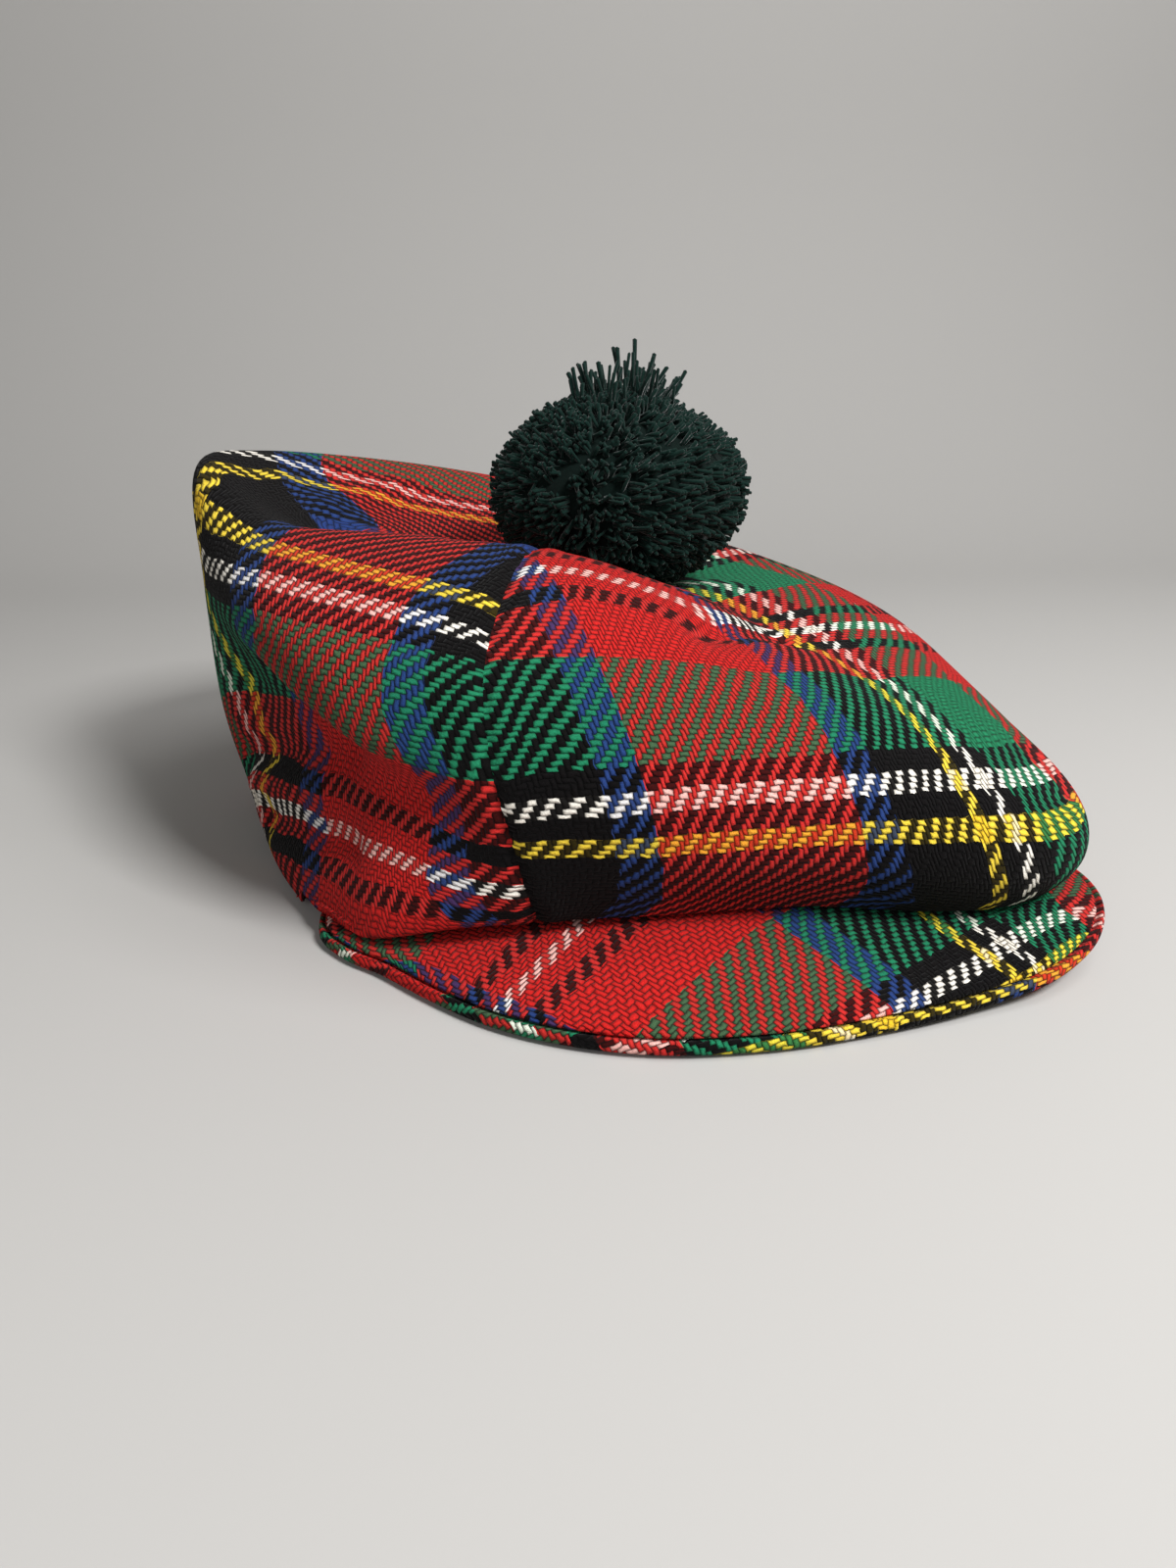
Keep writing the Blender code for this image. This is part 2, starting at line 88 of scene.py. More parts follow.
# The under cover's cloth: thread counts at two places of its rim, and the way the warp
# count grows there
UNDER_WARP_COUNT = 25
UNDER_WARP_PLACE = np.array([0.063, -0.141])
UNDER_WARP_WAY = (-0.97, -0.26)
UNDER_WEFT_COUNT = 51
UNDER_WEFT_PLACE = np.array([-0.015, -0.157])
POMPOM_WIDTH = 0.078
POMPOM_DEPTH = 0.074
POMPOM_HEIGHT = 0.060
POMPOM_NECK_HEIGHT = 0.004
TUFT_REACH = 0.014
YARN_CLUMPS = 420
CLUMP_PULL = 0.24
CLUMP_RISE = 0.022
TUFT_LEAN = 0.12
TUFT_SPREAD = 0.56
TUFT_SHORTNESS = 1.4
TUFT_MIDDLE_SHARE = 1.15
TUFT_EDGE_LOSS = 0.55
TUFT_ROOT_SHARE = 0.55
TUFT_BEND = 0.0012
CLUMP_SIZE = 0.16
TIP_SHARE = 0.985
ROOT_SHARE = 0.62
YARN_BEND = 0.0011
YARN_RADIUS_SHARES = (0.75, 1.15)
TURN_JITTER = 0.03
AIM_JITTER = 0.035
TIP_JITTER = 0.022
LEAN_JITTER = 0.0022
SWEEP_WIDTH = 38
CORE_SHARE = 0.88
YARN_RADIUS = 0.00062
YARN_LOWEST = -0.93
YARN_SWEEP = np.array([0.011, 0.0, 0.002])
SWEEP_MIDDLE = np.array([0.35, -0.93, 0.05]) / np.linalg.norm([0.35, -0.93, 0.05])

# Table and backdrop
FLOOR_COLOR = (0.44, 0.43, 0.415)
FLOOR_FRONT = 1.5
FLOOR_BACK = 0.45
FLOOR_BEND = 0.35
FLOOR_RISE = 3.0
FLOOR_HALF_WIDTH = 3.0
FLOOR_CLEARANCE = 0.0002

# Lamp: place and aim in metres, size of its square and power in watts
Lamp = namedtuple("Lamp", "name place aim size power")
LAMPS = (
    Lamp("key", (0.42, -0.58, 0.80), (0.0, 0.0, 0.03), 0.28, 13.5),
    Lamp("front_fill", (-0.40, -0.95, 0.50), (0.0, 0.0, 0.05), 0.6, 2.6),
    Lamp("backdrop_wash", (0.5, -0.1, 1.3), (0.0, 0.7, 0.4), 0.7, 7.0),
)
SURROUND_COLOR = (0.80, 0.80, 0.79)
SURROUND_STRENGTH = 0.15

# Details too fine for the part: rim, corners, folds' ends and the middle seam, in metres
RIM_TURN = 0.004
RIM_TURN_WIDTH = 0.003
CORNER_ROUNDS = 3
CORNER_PULL = 0.25
FOLD_FADE = 0.5
PLAIN_TOP_LEVELS = 1.5
BAND_FACE_STRETCH = 1.6
BAND_EDGE_STRETCH = 2.4
SEAM_START = 0.3
SEAM_PUCKER = 0.35
SEAM_PUCKER_PITCH = 1.9
SEAM_DEPTH = 0.0011
SEAM_WIDTH = 0.0016
SEAM_SWELL = 0.0004
SEAM_SWELL_PLACE = 0.004
SEAM_SWELL_WIDTH = 0.0022

# Look of the woven thread: lengths in threads, the relief in metres, the rest as shares
WANDER_SCALE = 0.45
THREAD_WANDER = 1.1
FLOAT_END_POWER = 3.5
FLOAT_SIDE_POWER = 2.0
# Brightness left at the gaps between thread floats, where the colour is darkened as painted shade
GAP_PAINTED_SHADE_FLOOR = 0.07
FIBRE_SCALE = 3.2
FIBRE_COARSENESS = 0.7
FIBRE_SHADE = 1.1
FIBRE_BASE = 0.42
FIBRE_RELIEF = 0.35
THREAD_RELIEF = 0.0007
TINT_LIMIT = 0.66
TINT_SHARE = 0.75
RED_FUZZ = 0.13
CLOTH_ROUGHNESS = 0.92
CLOTH_SHINE = 0.06
CLOTH_SHEEN = 0.03

# Look of the pompom's yarn
YARN_GREEN = (0.0040, 0.0210, 0.0160)
YARN_DARK_SHARE = 0.35
# The core's green is a darker copy of the ends' green: painted shade for the depth among the ends
CORE_GREEN_PAINTED_SHADE = (0.0020, 0.0090, 0.0070)
CORE_DARK_SHARE = 0.4
YARN_PATCH_SCALE = 900.0
YARN_RELIEF = 0.0004

# Fineness of the meshes
CROWN_COLUMNS = 400
CROWN_OUTER_RINGS = 176
CROWN_INNER_RINGS = 40
CASTING_COLUMNS = 180
CASTING_RINGS = 90
PEAK_STEPS = 200
PEAK_STEP = 0.0012
BAND_COLUMNS = 240
BAND_ROWS = 24
YARN_ENDS = 4200
TUFT_ENDS = 150
YARN_SIDES = 4
YARN_RINGS = 5
CASTING_PAD = 6
CLOTH_COLUMNS = 30
CLOTH_RINGS = 45
PEAK_CLOTH_COLUMNS = 40
PEAK_CLOTH_RINGS = 12
MARK_PULL = 6.0
LAYING_ROUNDS = 40

# Weave: one thread, and the sett from the middle of its wide red to its white line
THREAD = 0.00135
Stripe = namedtuple("Stripe", "color threads")
HALF_SETT = (
    Stripe("red", 21),
    Stripe("blue", 8),
    Stripe("black", 20),
    Stripe("yellow", 4),
    Stripe("black", 4),
    Stripe("white", 4),
    Stripe("black", 4),
    Stripe("green", 20),
    Stripe("red", 12),
    Stripe("black", 4),
    Stripe("red", 4),
    Stripe("white", 2),
)
WHITE_MIDDLE = sum(stripe.threads for stripe in HALF_SETT)
YARN_COLORS = {
    "red": (0.56, 0.026, 0.023),
    "blue": (0.020, 0.047, 0.175),
    "black": (0.0045, 0.0038, 0.0040),
    "yellow": (0.85, 0.62, 0.055),
    "white": (0.90, 0.85, 0.76),
    "green": (0.015, 0.195, 0.092),
}

# The part's section, fold and peak tables
CrownSection = namedtuple("CrownSection", "azimuth under low waist rim shoulder top dip")
CROWN_SECTIONS = (
    CrownSection(-150, (.80, .03), (.88, .11), (.97, .38), (1.05, .68), (1.00, .95), (.73, .85), (.33, .72)),
    CrownSection(-120, (.79, .03), (.91, .11), (.98, .38), (1.03, .71), (1.0, 1.02), (.69, .82), (.32, .72)),
    CrownSection(-97, (.78, .02), (.88, .08), (.96, .32), (.97, .71), (.95, 1.02), (.68, .81), (.32, .73)),
    CrownSection(-75, (.76, .02), (.85, .08), (.82, .44), (.90, .70), (.84, .85), (.63, .87), (.31, .72)),
    CrownSection(-55, (.80, .02), (.87, .07), (.81, .46), (.91, .66), (.84, .80), (.53, .88), (.30, .72)),
    CrownSection(-42, (.87, .02), (.92, .06), (.85, .44), (.94, .60), (.87, .76), (.53, .88), (.29, .72)),
    CrownSection(-30, (.92, .07), (.98, .12), (.91, .38), (.97, .54), (.87, .73), (.53, .88), (.28, .72)),
    CrownSection(-17, (.93, .13), (.98, .17), (.98, .34), (.99, .51), (.87, .71), (.53, .87), (.28, .72)),
    CrownSection(0, (.92, .15), (.97, .19), (1.03, .34), (1.01, .52), (.85, .70), (.52, .83), (.27, .71)),
    CrownSection(22.5, (.97, .14), (1.03, .18), (1.12, .31), (1.08, .49), (.90, .65), (.57, .74), (.24, .72)),
    CrownSection(45, (1.13, .09), (1.25, .11), (1.34, .23), (1.29, .37), (1.06, .515),
                 (.65, .63), (.23, .68)),
    CrownSection(67.5, (1.03, .06), (1.14, .09), (1.21, .21), (1.15, .35), (.95, .515),
                 (.63, .64), (.23, .68)),
    CrownSection(90, (.96, .05), (1.03, .10), (1.08, .22), (1.05, .37), (.92, .54), (.62, .66), (.23, .68)),
    CrownSection(120, (.92, .04), (1.01, .10), (1.06, .26), (1.06, .43), (.94, .59), (.63, .69), (.25, .68)),
    CrownSection(150, (.88, .04), (.97, .11), (1.02, .30), (1.03, .52), (.93, .71), (.67, .75), (.27, .70)),
    CrownSection(180, (.84, .03), (.92, .11), (.98, .34), (1.03, .61), (.97, .84), (.70, .83), (.28, .71)),
)
CROWN_LEVELS = len(CrownSection._fields) + 1
APEX_PULL = np.array([0, 0, 0, 0, 0, .30, 1.0])
BAND_OUTSET = np.array([.22, .42, .50, .50, 0, 0, 0])

# Fold: ends as azimuth and level, width and depth as shares of CROWN_REACH
Fold = namedtuple("Fold", "start end width depth")
CROWN_FOLDS = (
    Fold((-86, 2.60), (-40, 3.05), .050, -.026),
    Fold((-80, 2.42), (-48, 2.70), .050, .022),
    Fold((-72, 2.20), (-38, 2.50), .045, -.026),
    Fold((-60, 3.50), (-22, 3.45), .060, -.020),
    Fold((15, 5.40), (37, 5.90), .045, -.022),
    Fold((-150, 5.60), (-118, 5.75), .060, .014),
    Fold((150, 5.50), (120, 5.00), .090, -.020),
)
PeakSection = namedtuple("PeakSection", "azimuth reach lift")
PEAK_SECTIONS = (
    PeakSection(-67, .06, 0.0),
    PeakSection(-58, .60, 0.0),
    PeakSection(-50, .86, 0.0),
    PeakSection(-44, .90, 0.0),
    PeakSection(-38, .88, 0.0),
    PeakSection(-32, .91, 0.0),
    PeakSection(-22, .98, 0.0),
    PeakSection(-11, 1.0, 0.0),
    PeakSection(0, .97, 0.0),
    PeakSection(10, .955, .02),
    PeakSection(20, 1.0, .10),
    PeakSection(29, 1.09, .30),
    PeakSection(37, 1.10, .60),
    PeakSection(45, .97, .72),
    PeakSection(53, .68, .66),
    PeakSection(60, .34, .52),
    PeakSection(67, .06, .40),
)

# How the cloth lies on each half of the crown. A line of the tartan is followed by a few
# places in the photograph, in its pixels. The warp runs down the crown and is counted in
# threads from the middle of its wide red, more towards the right. The weft runs round it
# and is counted towards the pompom.
ClothLine = namedtuple("ClothLine", "half system thread places")
CLOTH_LINES = (
    ClothLine("left", "warp", 25, ((500, 572), (450, 590), (422, 625), (405, 680), (400, 720),
                                   (415, 755), (440, 785), (455, 830), (447, 875), (445, 910))),
    ClothLine("left", "warp", -25, ((385, 538), (330, 527), (280, 535), (255, 560), (254, 600),
                                    (262, 640), (312, 720), (320, 760), (330, 805), (320, 850),
                                    (322, 900))),
    ClothLine("left", "warp", -51, ((330, 498), (265, 489), (222, 500), (208, 540), (208, 590),
                                    (258, 690), (264, 740), (282, 785), (275, 850))),
    ClothLine("left", "weft", -25, ((315, 495), (350, 514), (388, 535))),
    ClothLine("left", "weft", -51, ((215, 535), (250, 548), (300, 565), (350, 578), (400, 592),
                                    (450, 600), (495, 612))),
    ClothLine("left", "weft", -59, ((225, 580), (260, 590), (300, 600), (350, 610), (400, 622),
                                    (450, 638), (490, 655))),
    ClothLine("left", "weft", -65, ((290, 632), (380, 650), (440, 662), (485, 672))),
    ClothLine("left", "weft", -85, ((235, 703), (300, 710), (460, 797), (505, 803))),
    ClothLine("left", "weft", -99, ((300, 788), (345, 800), (400, 830), (440, 853), (500, 878))),
    ClothLine("left", "weft", -107, ((285, 825), (330, 845), (370, 862), (420, 885),
                                     (470, 903), (530, 920))),
    ClothLine("left", "weft", -115, ((300, 862), (345, 885), (385, 905), (430, 922))),
    ClothLine("right", "warp", -25, ((548, 580), (562, 605), (582, 640), (600, 680), (615, 720),
                                     (632, 765), (645, 810), (655, 850), (665, 890),
                                     (673, 918))),
    ClothLine("right", "warp", 25, ((790, 683), (830, 705), (870, 755), (895, 800), (912, 845),
                                    (925, 890), (934, 920))),
    ClothLine("right", "warp", 51, ((715, 605), (760, 632), (810, 650), (870, 685), (930, 735),
                                    (970, 790), (1002, 840), (1018, 885), (1027, 920))),
    ClothLine("right", "warp", 59, ((745, 597), (780, 615), (835, 645), (885, 683), (935, 722),
                                    (968, 758), (995, 800), (1020, 840), (1042, 885),
                                    (1052, 922))),
    ClothLine("right", "warp", 91, ((950, 660), (1005, 720), (1050, 775), (1085, 815))),
    ClothLine("right", "weft", 107, ((545, 578), (600, 585), (632, 595), (735, 650), (810, 643))),
    ClothLine("right", "weft", 99, ((575, 600), (610, 603), (650, 612))),
    ClothLine("right", "weft", 85, ((500, 672), (560, 672), (620, 673), (680, 675), (740, 680),
                                    (800, 690), (900, 697))),
    ClothLine("right", "weft", 65, ((510, 795), (560, 788), (620, 785), (680, 780), (760, 775),
                                    (850, 768), (900, 766), (960, 768), (1040, 775))),
    ClothLine("right", "weft", 59, ((540, 830), (600, 826), (660, 820), (720, 812), (800, 805),
                                    (880, 800), (940, 797), (1000, 795), (1050, 790))),
    ClothLine("right", "weft", 51, ((550, 870), (620, 868), (700, 863), (780, 857), (860, 850),
                                    (940, 848), (1000, 842), (1070, 836))),
    ClothLine("right", "weft", 123, ((735, 618),)),
    ClothLine("right", "weft", 139, ((690, 592),)),
    ClothLine("peak", "warp", 75, ((404, 992),)),
    ClothLine("peak", "warp", 85, ((412, 984), (425, 970), (440, 956))),
    ClothLine("peak", "warp", 99, ((485, 1020), (515, 985), (545, 955))),
    ClothLine("peak", "warp", 107, ((505, 1035), (530, 1005), (560, 975), (590, 940))),
    ClothLine("peak", "warp", 115, ((545, 1035), (575, 1005), (610, 975), (640, 940))),
    ClothLine("peak", "warp", 129, ((659, 1055), (693, 1019), (727, 990), (760, 960), (773, 944))),
    ClothLine("peak", "warp", 149, ((919, 998), (939, 983), (964, 969))),
    ClothLine("peak", "warp", 155, ((936, 1021), (952, 1010), (968, 1002), (982, 994), (1003, 983))),
    ClothLine("peak", "warp", 163, ((1037, 1013), (1053, 1005), (1075, 988), (1085, 976),
                                    (1100, 962))),
    ClothLine("peak", "weft", -25, ((425, 998), (448, 1013), (465, 1024), (495, 1038),
                                    (525, 1046))),
    ClothLine("peak", "weft", 25, ((811, 930), (855, 964), (893, 990), (919, 1008))),
    ClothLine("peak", "weft", 51, ((949, 937), (962, 946), (980, 959), (993, 968), (1015, 979),
                                   (1033, 992), (1043, 1004))),
    ClothLine("peak", "weft", 59, ((985, 940), (998, 946), (1015, 956), (1033, 967), (1046, 976),
                                   (1059, 985))),
    ClothLine("peak", "weft", 65, ((1020, 941), (1061, 969))),
    ClothLine("peak", "weft", 85, ((1079, 931), (1107, 949))),
)


# Swellings of the pompom: direction from its middle, size as a share and width in degrees
PompomLobe = namedtuple("PompomLobe", "direction swell width")
POMPOM_LOBES = (
    PompomLobe((0.95, -0.15, 0.10), .05, 32),
    PompomLobe((0.62, -0.30, 0.72), -.07, 13),
    PompomLobe((0.30, -0.60, 0.72), .05, 26),
    PompomLobe((-0.75, -0.45, 0.55), -.03, 22),
    PompomLobe((0.10, -0.90, -0.20), -.05, 22),
)


def ease(share):
    """Smooth step from 0 to 1."""
    share = np.clip(share, 0.0, 1.0)
    return share * share * (3 - 2 * share)


def hermite_rows(rows, azimuth, closed):
    """Table values at many azimuths: a cubic with slopes from the neighbouring rows."""
    angles = np.array([row[0] for row in rows], float)
    values = np.array([np.ravel(row[1:]) for row in rows], float)
    if closed:
        azimuth = (azimuth - angles[0]) % 360 + angles[0]
        angles = np.concatenate([[angles[-1] - 360], angles, angles[:2] + 360])
        values = np.concatenate([values[-1:], values, values[:2]])
    else:
        azimuth = np.clip(azimuth, angles[0], angles[-1])
        angles = np.concatenate([[angles[0] - 1e-6], angles, [angles[-1] + 1e-6]])
        values = np.concatenate([values[:1], values, values[-1:]])
    index = np.clip(np.searchsorted(angles, azimuth, side="right") - 1, 1, len(angles) - 3)
    span = (angles[index + 1] - angles[index])[:, None]
    share = ((azimuth - angles[index]) / span[:, 0])[:, None]
    slope_start = (values[index + 1] - values[index - 1]) / (
        angles[index + 1] - angles[index - 1])[:, None] * span
    slope_end = (values[index + 2] - values[index]) / (
        angles[index + 2] - angles[index])[:, None] * span
    square = share * share
    cube = square * share
    return (
        (2 * cube - 3 * square + 1) * values[index]
        + (cube - 2 * square + share) * slope_start
        + (3 * square - 2 * cube) * values[index + 1]
        + (cube - square) * slope_end
    )


def band_bottom(azimuth):
    """Height of the band's lower edge."""
    return BAND_FRONT_RISE * ease((np.cos(np.radians(azimuth)) - BAND_RISE_START)
                                  / (1 - BAND_RISE_START))


def band_reach(azimuth):
    """Distance from the opening's middle to the band's outer face."""
    turn = np.radians(azimuth)
    half_width = HEAD_WIDTH / 2 + BAND_CLOTH
    half_length = HEAD_LENGTH / 2 + BAND_CLOTH
    return 1 / np.sqrt((np.sin(turn) / half_width) ** 2 + (np.cos(turn) / half_length) ** 2)


def peak_row(azimuth):
    """Reach past the band and lift of the peak's edge."""
    found = hermite_rows(PEAK_SECTIONS, np.atleast_1d(azimuth).astype(float), False)
    return found[:, 0] * PEAK_DEPTH, np.maximum(found[:, 1], 0.0) * PEAK_END_LIFT


def peak_height(azimuth, share):
    """Height of the peak's top face, share 0 at the rim and 1 at the band."""
    reach, lift = peak_row(azimuth)
    seat = band_bottom(azimuth) + PEAK_SEAT
    fall = (seat - PEAK_THICKNESS - lift) * ease(2 * reach / PEAK_DEPTH)
    return seat - fall * (1 - np.maximum(share, 0.0) ** PEAK_FALL_POWER)


def peak_height_below(x, y):
    """Height of the peak's top face under places, or zero where there is none."""
    azimuth = np.degrees(np.arctan2(x, -y))
    outside = np.hypot(x, y) - band_reach(azimuth)
    reach = peak_row(azimuth)[0]
    share = np.clip(1 - outside / np.maximum(reach, PEAK_MARGIN), 0.0, 1.0)
    height = peak_height(azimuth, share)
    off = (np.abs(azimuth) > PEAK_HALF_SPREAD + 6) | (outside > reach + PEAK_MARGIN)
    return np.where(off, 0.0, height)


def seam_azimuth(level):
    """Azimuth of the middle seam, which slants as it climbs to the pompom."""
    return SEAM_AZIMUTH + SEAM_TWIST * min(level, CROWN_LEVELS - 2)


def crown_profiles(azimuth):
    """Points from the hem to the apex, one row of the result for each azimuth."""
    turn = np.radians(azimuth)
    away = np.stack([np.sin(turn), -np.cos(turn)], 1)
    points = np.zeros((len(azimuth), CROWN_LEVELS + 1, 3))
    half = np.array([HEAD_WIDTH / 2, HEAD_LENGTH / 2]) + BAND_CLOTH + GAP
    points[:, 0, :2] = half * away
    points[:, 0, 2] = band_bottom(azimuth) + CROWN_SEAT
    table = hermite_rows(CROWN_SECTIONS, azimuth, True).reshape(len(azimuth), -1, 2)
    reach = table[:, :, 0:1] * CROWN_REACH
    middle = CROWN_SHIFT + APEX_PULL[:, None] * APEX_SHIFT
    places = middle[None] + reach * away[:, None, :]
    distance = np.hypot(places[..., 0], places[..., 1])
    toward = np.degrees(np.arctan2(places[..., 0], -places[..., 1]))
    least = band_reach(toward) + BAND_OUTSET * BAND_HEIGHT
    push = np.where(BAND_OUTSET > 0, np.maximum(least / distance, 1.0), 1.0)
    points[:, 1:-2, :2] = places * push[..., None]
    points[:, 1:-2, 2] = table[:, :, 1] * CROWN_HEIGHT
    points[:, -2:, :2] = CROWN_SHIFT + APEX_SHIFT
    points[:, -2, :2] += away * APEX_FLAT_RADIUS
    points[:, -2:, 2] = APEX_HEIGHT
    return points


def crown_ring(level, azimuth):
    """Points of the smooth crown at one level, before its folds."""
    points = crown_profiles(azimuth)
    last = CROWN_LEVELS
    index = min(int(level), last - 1)
    share = level - index
    start = points[:, index]
    end = points[:, index + 1]
    before = points[:, index - 1] if index > 0 else 2 * start - end
    after = points[:, index + 2] if index + 2 <= last else 2 * end - start
    ring = 0.5 * (
        2 * start
        + (end - before) * share
        + (2 * before - 5 * start + 4 * end - after) * share**2
        + (3 * start - before - 3 * end + after) * share**3
    )
    floor = peak_height_below(ring[:, 0], ring[:, 1]) + CROWN_OVER_PEAK
    ring[:, 2] = np.maximum(ring[:, 2], floor)
    return ring


def grid_normals(grid):
    """Outward normals of a closed grid of rings, hem first."""
    round_way = np.roll(grid, -1, 1) - np.roll(grid, 1, 1)
    up_way = np.gradient(grid, axis=0)
    normals = np.cross(round_way, up_way)
    length = np.linalg.norm(normals, axis=-1, keepdims=True)
    return normals / np.maximum(length, 1e-12)


def distance_to_line(points, start, end):
    """Distances from points to the stretch between two others."""
    along = end - start
    share = np.clip((points - start) @ along / (along @ along), 0.0, 1.0)
    return np.linalg.norm(points - start - share[..., None] * along, axis=-1)


def crown_grid(levels, columns):
    """Outer face of the crown with its folds. Column 0 lies on the front seam."""
    base = np.arange(columns) * 360 / columns
    grid = np.stack([crown_ring(level, base + seam_azimuth(level)) for level in levels])
    normals = grid_normals(grid)
    push = np.zeros(grid.shape[:2])
    for fold in CROWN_FOLDS:
        ends = [crown_ring(level, np.array([float(azimuth)]))[0]
                for azimuth, level in (fold.start, fold.end)]
        width = fold.width * CROWN_REACH
        distance = distance_to_line(grid, *ends)
        push += fold.depth * CROWN_REACH * np.exp(-((distance / width) ** 2))
    fade = ease((levels - 1) / FOLD_FADE) * ease(
        (CROWN_LEVELS - PLAIN_TOP_LEVELS - levels) / FOLD_FADE)
    grid = grid + normals * (push * fade[:, None])[..., None]
    floor = peak_height_below(grid[..., 0].ravel(), grid[..., 1].ravel())
    floor = floor.reshape(grid.shape[:2]) + CROWN_OVER_PEAK
    grid[..., 2] = np.maximum(grid[..., 2], floor)
    return grid


def camera_pose():
    """Camera place and the directions right, up and forward, from the opening's middle."""
    yaw = radians(CAMERA_YAW)
    tilt = radians(CAMERA_TILT)
    place = np.array([-CAMERA_LEFT, -CAMERA_BACK, CAMERA_HEIGHT])
    right = np.array([cos(yaw), -sin(yaw), 0.0])
    ahead = np.array([sin(yaw) * cos(tilt), cos(yaw) * cos(tilt), -sin(tilt)])
    up = np.cross(right, ahead)
    return place, right, up, ahead


def pixel_ray(across, down):
    """Direction from the camera through a place in the photograph."""
    _, right, up, ahead = camera_pose()
    x = (across - PHOTO_WIDTH / 2) / FOCAL_PIXELS
    y = (down - PHOTO_HEIGHT / 2) / FOCAL_PIXELS
    ray = ahead + x * right - y * up
    return ray / np.linalg.norm(ray)


def cast_places(grid, places):
    """Rows and columns of a grid where places of the photograph lie on it."""
    rows, columns = grid.shape[:2]
    verts = [Vector(point) for point in grid.reshape(-1, 3)]
    faces = []
    for row in range(rows - 1):
        for column in range(columns - 1):
            first = row * columns + column
            faces.append((first, first + 1, first + columns + 1))
            faces.append((first, first + columns + 1, first + columns))
    tree = BVHTree.FromPolygons(verts, faces)
    eye = Vector(camera_pose()[0])
    found = []
    for across, down in places:
        hit, _, face, _ = tree.ray_cast(eye, Vector(pixel_ray(across, down)))
        if hit is None:
            found.append(None)
            continue
        weights = barycentric(hit, [verts[corner] for corner in faces[face]])
        row = sum(w * (corner // columns) for w, corner in zip(weights, faces[face]))
        column = sum(w * (corner % columns) for w, corner in zip(weights, faces[face]))
        found.append((row, column))
    return found


def find_marks(half, grid, row_span, column_span, cloth_shape):
    """Marks of one piece of cloth, in cells of its cloth grid.

    The spans are the first and last row and column of the grid that the cloth covers.
    """
    marks = []
    for line in CLOTH_LINES:
        if line.half != half:
            continue
        for spot in cast_places(grid, line.places):
            if spot is None:
                continue
            cell = []
            for value, (low, high), count in zip(spot, (row_span, column_span), cloth_shape):
                value = (value - low) / (high - low) * count
                cell.append(min(max(value, 0.0), count - 1e-6))
            marks.append((line.system, line.thread, *cell))
    return marks


def barycentric(point, cell):
    """Weights of a triangle's corners at a point on it."""
    first, second, third = cell
    edge_a = second - first
    edge_b = third - first
    offset = point - first
    aa = edge_a.dot(edge_a)
    ab = edge_a.dot(edge_b)
    bb = edge_b.dot(edge_b)
    pa = offset.dot(edge_a)
    pb = offset.dot(edge_b)
    area = max(aa * bb - ab * ab, 1e-18)
    v = (bb * pa - ab * pb) / area
    w = (aa * pb - ab * pa) / area
    return 1 - v - w, v, w


